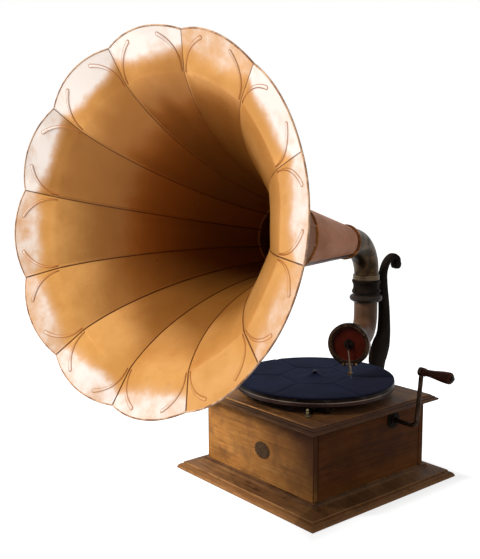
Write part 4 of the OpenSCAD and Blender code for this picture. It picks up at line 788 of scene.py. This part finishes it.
stem = np.array([
    [HALF + 2, TOP_Z - 78, 2], [HALF + 3.5, TOP_Z - 66, 3], [HALF + 9, TOP_Z - 40, 7],
    [TOP_HALF + 11.5, TOP_Z - 4, 9], [TOP_HALF + 11.5, TOP_Z + 29, 20], [HALF + 36, TOP_Z + 52, 20.2],
    [HALF + 41, TOP_Z + 67, 15.8], [HALF + 42.8, TOP_Z + 83, 13], [COLLAR_Y + 46, COLLAR_Z - 30, 10.5],
    [COLLAR_Y + 41, COLLAR_Z + 12, 8.6], [COLLAR_Y + 42.8, COLLAR_Z + 33, 6.2],
    [COLLAR_Y + 51, COLLAR_Z + 48, 5.4], [COLLAR_Y + 64, COLLAR_Z + 55.4, 5.4],
    [COLLAR_Y + 74.4, COLLAR_Z + 50.4, 6.2], [COLLAR_Y + 75.6, COLLAR_Z + 43.5, 7.2],
    [COLLAR_Y + 75, COLLAR_Z + 41.5, 7.3]])
line = catmull(stem, 10)
path = np.stack([0 * line[:, 0], line[:, 0], line[:, 1]], -1)
section = superellipse(2.8, 40)[None] * np.stack([np.full(len(line), 7.0), line[:, 2]], -1)[:, None]
stem_part = swept(path, [1, 0, 0], section)
boss = turned([[0, -7.3], [5.6, -7.1], [7.4, -5.6], [8.0, 0], [7.4, 5.6], [5.6, 7.1], [0, 7.3]],
              lambda p: p[..., [2, 0, 1]] + [0, COLLAR_Y + 74.7, COLLAR_Z + 41.2], 40, closed=False)
foot = board([-25, HALF, CASE_Z - 68], [25, HALF + 6, CASE_Z - 8], 1.6)
web = board([-6, COLLAR_Y + 21, COLLAR_Z + 2], [6, COLLAR_Y + 46, COLLAR_Z + 19.3], 2.0)
cup = rounded([[18.45, COLLAR_Z], [22.4, COLLAR_Z], [23.2, COLLAR_Z + 1.2], [23.0, COLLAR_Z + 4],
               [21.4, COLLAR_Z + 7.4], [20.9, COLLAR_Z + 11.2], [21.4, COLLAR_Z + 15],
               [22.9, COLLAR_Z + 18], [23.3, COLLAR_Z + 19.6], [23.3, COLLAR_TOP - 0.9],
               [22.4, COLLAR_TOP], [20.1, COLLAR_TOP], [20.1, COLLAR_Z + 10], [18.45, COLLAR_Z + 10]],
              0.9, closed=True, steps=4)
bracket = together(stem_part, boss, foot, web, turned(cup, at_collar, 96))
piece("bracket_casting", bracket, "base", black_iron, ["back_bracket"])

# Elbow: a tube up from the spigot, round an arc of radius ELBOW_BEND and out into the cone. Its radius
# grows evenly with the length, from ELBOW_R to the cone's inside.

ELBOW_SIDES = 72
ELBOW_WALL = 1.2
bend_angle = math.pi / 2 - HORN_PITCH
bend_run = ELBOW_BEND * math.tan(bend_angle / 2)
a = np.linspace(0, bend_angle, 40)
arc = np.stack([ELBOW_BEND * (1 - np.cos(a)), ELBOW_BEND * np.sin(a) - bend_run], -1)
low = SPIGOT_TOP - CORNER_Z
tip = (CONE_S + 8) * np.array([math.sin(bend_angle), math.cos(bend_angle)])
start = np.stack([np.zeros(6), np.linspace(low, arc[0, 1], 6, endpoint=False)], -1)
end = arc[-1] + (tip - arc[-1]) * np.linspace(0, 1, 9)[1:, None]
flat = np.vstack([start, arc, end])
length = np.concatenate([[0], np.cumsum(np.linalg.norm(np.diff(flat, axis=0), axis=1))])
share = length / length[-1]
radius = ELBOW_R + (CONE_R - SHEET_T - 0.1 - ELBOW_R) * np.clip((share - 0.1) / 0.8, 0, 1)
across = np.array([math.sin(HORN_YAW), -math.cos(HORN_YAW), 0])
level = np.array([math.cos(HORN_YAW), math.sin(HORN_YAW), 0])
path = flat[:, :1] * across + flat[:, 1:] * UP + [0, COLLAR_Y, CORNER_Z]
outer, inner = (swept(path, level, circle(ELBOW_SIDES)[None] * wall[:, None, None], capped=False)
                for wall in (radius, radius - ELBOW_WALL))
piece("elbow_tube", together(outer, (inner[0], inner[1][:, ::-1])), "horn", aged_nickel,
      ["horn_elbow"])

# Felt: the upper side lies at (r cos a, r sin a, PLAY_Z + 0.25 + lift). The lift is half a puff, a sum of
# two waves, less 1.1 at the sewn creases, which are Gaussians of the distance to six rays
# and to a hexagon, plus a tent round the pin that falls off as exp(-(r - 4) / 5.5), less 0.8 edge^2
# where the mat rolls off over its last 4.4.

r = np.concatenate([np.linspace(4.6, 14, 14), np.linspace(16, FELT_R, 74)])
a = np.arange(360) * 2 * math.pi / 360
r, a = np.meshgrid(r, a, indexing="ij")
ray = np.abs((a / (math.pi / 3) + 0.22) % 1 - 0.5) * 2
to_ray = (1 - ray) * math.pi / 6 * r
side_turn = np.cos(((a + 0.23) % (math.pi / 3)) - math.pi / 6)
hexagon = 52 / np.maximum(side_turn, 0.5) * math.cos(math.pi / 6) * 1.06
crease = np.maximum(np.exp(-(to_ray / 2.4) ** 2) * np.clip((r - 46) / 10, 0, 1),
                    np.exp(-((r - hexagon) / 2.6) ** 2) * 0.8)
puff = 0.35 * np.sin(3 * a + r / 21) * np.sin(r / 17) + 0.25 * np.sin(5 * a - r / 13)
tent = 4.6 * np.exp(-((r - 4) / 5.5)) * (1 + 0.3 * np.sin(3 * a + 1))
edge = np.clip((r - 120) / 4.4, 0, 1)
lift = 0.5 * puff * np.clip((124 - r) / 20, 0, 1) - 1.1 * crease + tent - 0.8 * edge ** 2
upper = np.stack([r * np.cos(a), r * np.sin(a), PLAY_Z + 0.25 + lift], -1)
under = np.stack([r * np.cos(a), r * np.sin(a), np.full_like(r, FELT_Z + 0.05) + tent * 0.8], -1)
felt_shell = np.concatenate([upper, under[::-1]])
felt = piece("felt_cloth", grid(felt_shell, loop_rows=True, loop_columns=True), "turntable",
             navy_felt, ["felt_mat"], 60)

# Rosette on the front, without letters: at the angle a and the share k of its half widths 17 and 13 it
# lies at (17 k lobe cos a, 13 k lobe sin a), h + ridge spoke in front of the panel, where
# spoke = |cos 8a|^0.6 and lobe = 0.84 + 0.16 spoke. Each row here is (k, h, ridge).

a = np.linspace(0, 2 * math.pi, 192, endpoint=False)
spoke = np.abs(np.cos(8 * a)) ** 0.6
lobes = 0.84 + 0.16 * spoke
rings = ((0, 0.1, 0), (0.24, 0.1, 0), (0.28, 0.35, 0), (0.34, 0.1, 0), (0.5, 0.1, 0.4), (0.92, 0.15, 0.5),
         (1.0, 0.1, 0.2), (1.0, -0.3, 0))
wide, high = 17 * lobes * np.cos(a), 13 * lobes * np.sin(a)
flat_star = np.stack([np.stack([k * wide, k * high, h + ridge * spoke], -1) for k, h, ridge in rings])
points, quads = grid(flat_star, loop_columns=True)
points = points[:, [0, 2, 1]] * [1, -1, 1] + [11.4, -HALF - 0.05, 68.7]
piece("front_rosette", (points, quads), "base", old_decal)

# CAD nodes that stay

block_wood.to("corner_blocks")
brass.to("spindle_bush", "worm_wheel", "winding_gear", "crown_wheel", "governor_weights")
# The board's screws take the dark steel, as painted shadow under the turntable
dark_steel.to("board_screws", "crank_rod", "bracket_screws")
old_brass.to("brake_lever")
dull_nickel.to("speed_knob", "spring_barrel")
rim_nickel.to("platter")
sound_nickel.to("soundbox_body", "soundbox_ring")
steel.to("crank_pinion", "winding_arbor", "ratchet_click", "governor_shaft", "governor_disc")
pad_leather.to("brake_pad", "speed_pad")
black_iron.to("crank_escutcheon")
black_steel.to("grip_pin")
bar_steel.to("stylus_bar")
pin_steel.to("spindle")
screw_brass.to("soundbox_screws")
grip_wood.to("crank_grip")
motor_iron.to("motor_frame")
spring_steel.to("mainspring")
brown_arm.to("tonearm")
red_fibre.to("diaphragm")
white_rubber.to("gaskets")
bright_steel.to("needle")
bronze.to("horn_rings")

# Floor, light and camera

floor_mesh = bpy.data.meshes.new("floor")
floor_mesh.from_pydata([(-9, -9, 0), (9, -9, 0), (9, 9, 0), (-9, 9, 0)], [], [(0, 1, 2, 3)])
floor = bpy.data.objects.new("floor", floor_mesh)
bpy.context.scene.collection.objects.link(floor)
paper = Finish("paper", Base_Color=(0.5, 0.5, 0.5, 1), Roughness=1.0, Specular_IOR_Level=0.0)
# The floor glows less close to the base, where its shadow shows
glow = paper.white_rays() * paper.span(paper.square_gap(0), -160, -196, 0.74, 1.0)
paper.set(Emission_Color=paper.mix((0, 0, 0), (1, 1, 1), glow), Emission_Strength=1.0)
floor_mesh.materials.append(paper.material)

world = bpy.data.worlds.new("studio")
bpy.context.scene.world = world
world.use_nodes = True
air = Graph(world.node_tree)
dim, full = (air.node("ShaderNodeBackground", None, {0: (1, 1, 1), 1: strength}) for strength in (0.1, 1.0))
either = air.node("ShaderNodeMixShader", None, {0: air.white_rays(), 1: dim, 2: full})
air.node("ShaderNodeOutputWorld", None, {0: either})


def lamp(name, azimuth, elevation, distance, size, power, aim=(0.05, -0.1, 0.3)):
    """Square area light at an angle round the object (0 is in front), turned to aim. Angles are in
    degrees, distance and size in metres, power in watts."""
    data = bpy.data.lights.new(name, "AREA")
    data.size = size
    data.energy = power
    thing = bpy.data.objects.new(name, data)
    bpy.context.scene.collection.objects.link(thing)
    a, e = math.radians(azimuth), math.radians(elevation)
    way = Vector((math.sin(a) * math.cos(e), -math.cos(a) * math.cos(e), math.sin(e)))
    thing.location = Vector(aim) + way * distance
    thing.rotation_euler = way.to_track_quat("Z", "Y").to_euler()
    thing.visible_glossy = False


lamp("key", -26, 40, 2.4, 0.8, 82)
lamp("top", 10, 75, 2.0, 1.4, 2)
lamp("side", 105, 25, 2.4, 1.4, 12)

# The camera as fitted to the photo: a lens in mm, then azimuth, elevation and roll in degrees
camera_data = bpy.data.cameras.new("camera")
camera_data.lens = 53.49
camera_data.sensor_width = 36
camera_data.clip_start = 0.05
camera = bpy.data.objects.new("camera", camera_data)
bpy.context.scene.collection.objects.link(camera)
azimuth, elevation, roll = (math.radians(x) for x in (50.47, 8.54, -0.21))
back_way = Vector((math.sin(azimuth) * math.cos(elevation), -math.cos(azimuth) * math.cos(elevation),
                   math.sin(elevation)))
camera.rotation_mode = "QUATERNION"
level_turn = (-back_way).to_track_quat("-Z", "Y")
camera.rotation_quaternion = level_turn @ Matrix.Rotation(roll, 3, "Z").to_quaternion()
camera.location = Vector((0.9122, -0.9057, 0.5068))
bpy.context.scene.camera = camera
bpy.context.scene.view_settings.view_transform = "Standard"
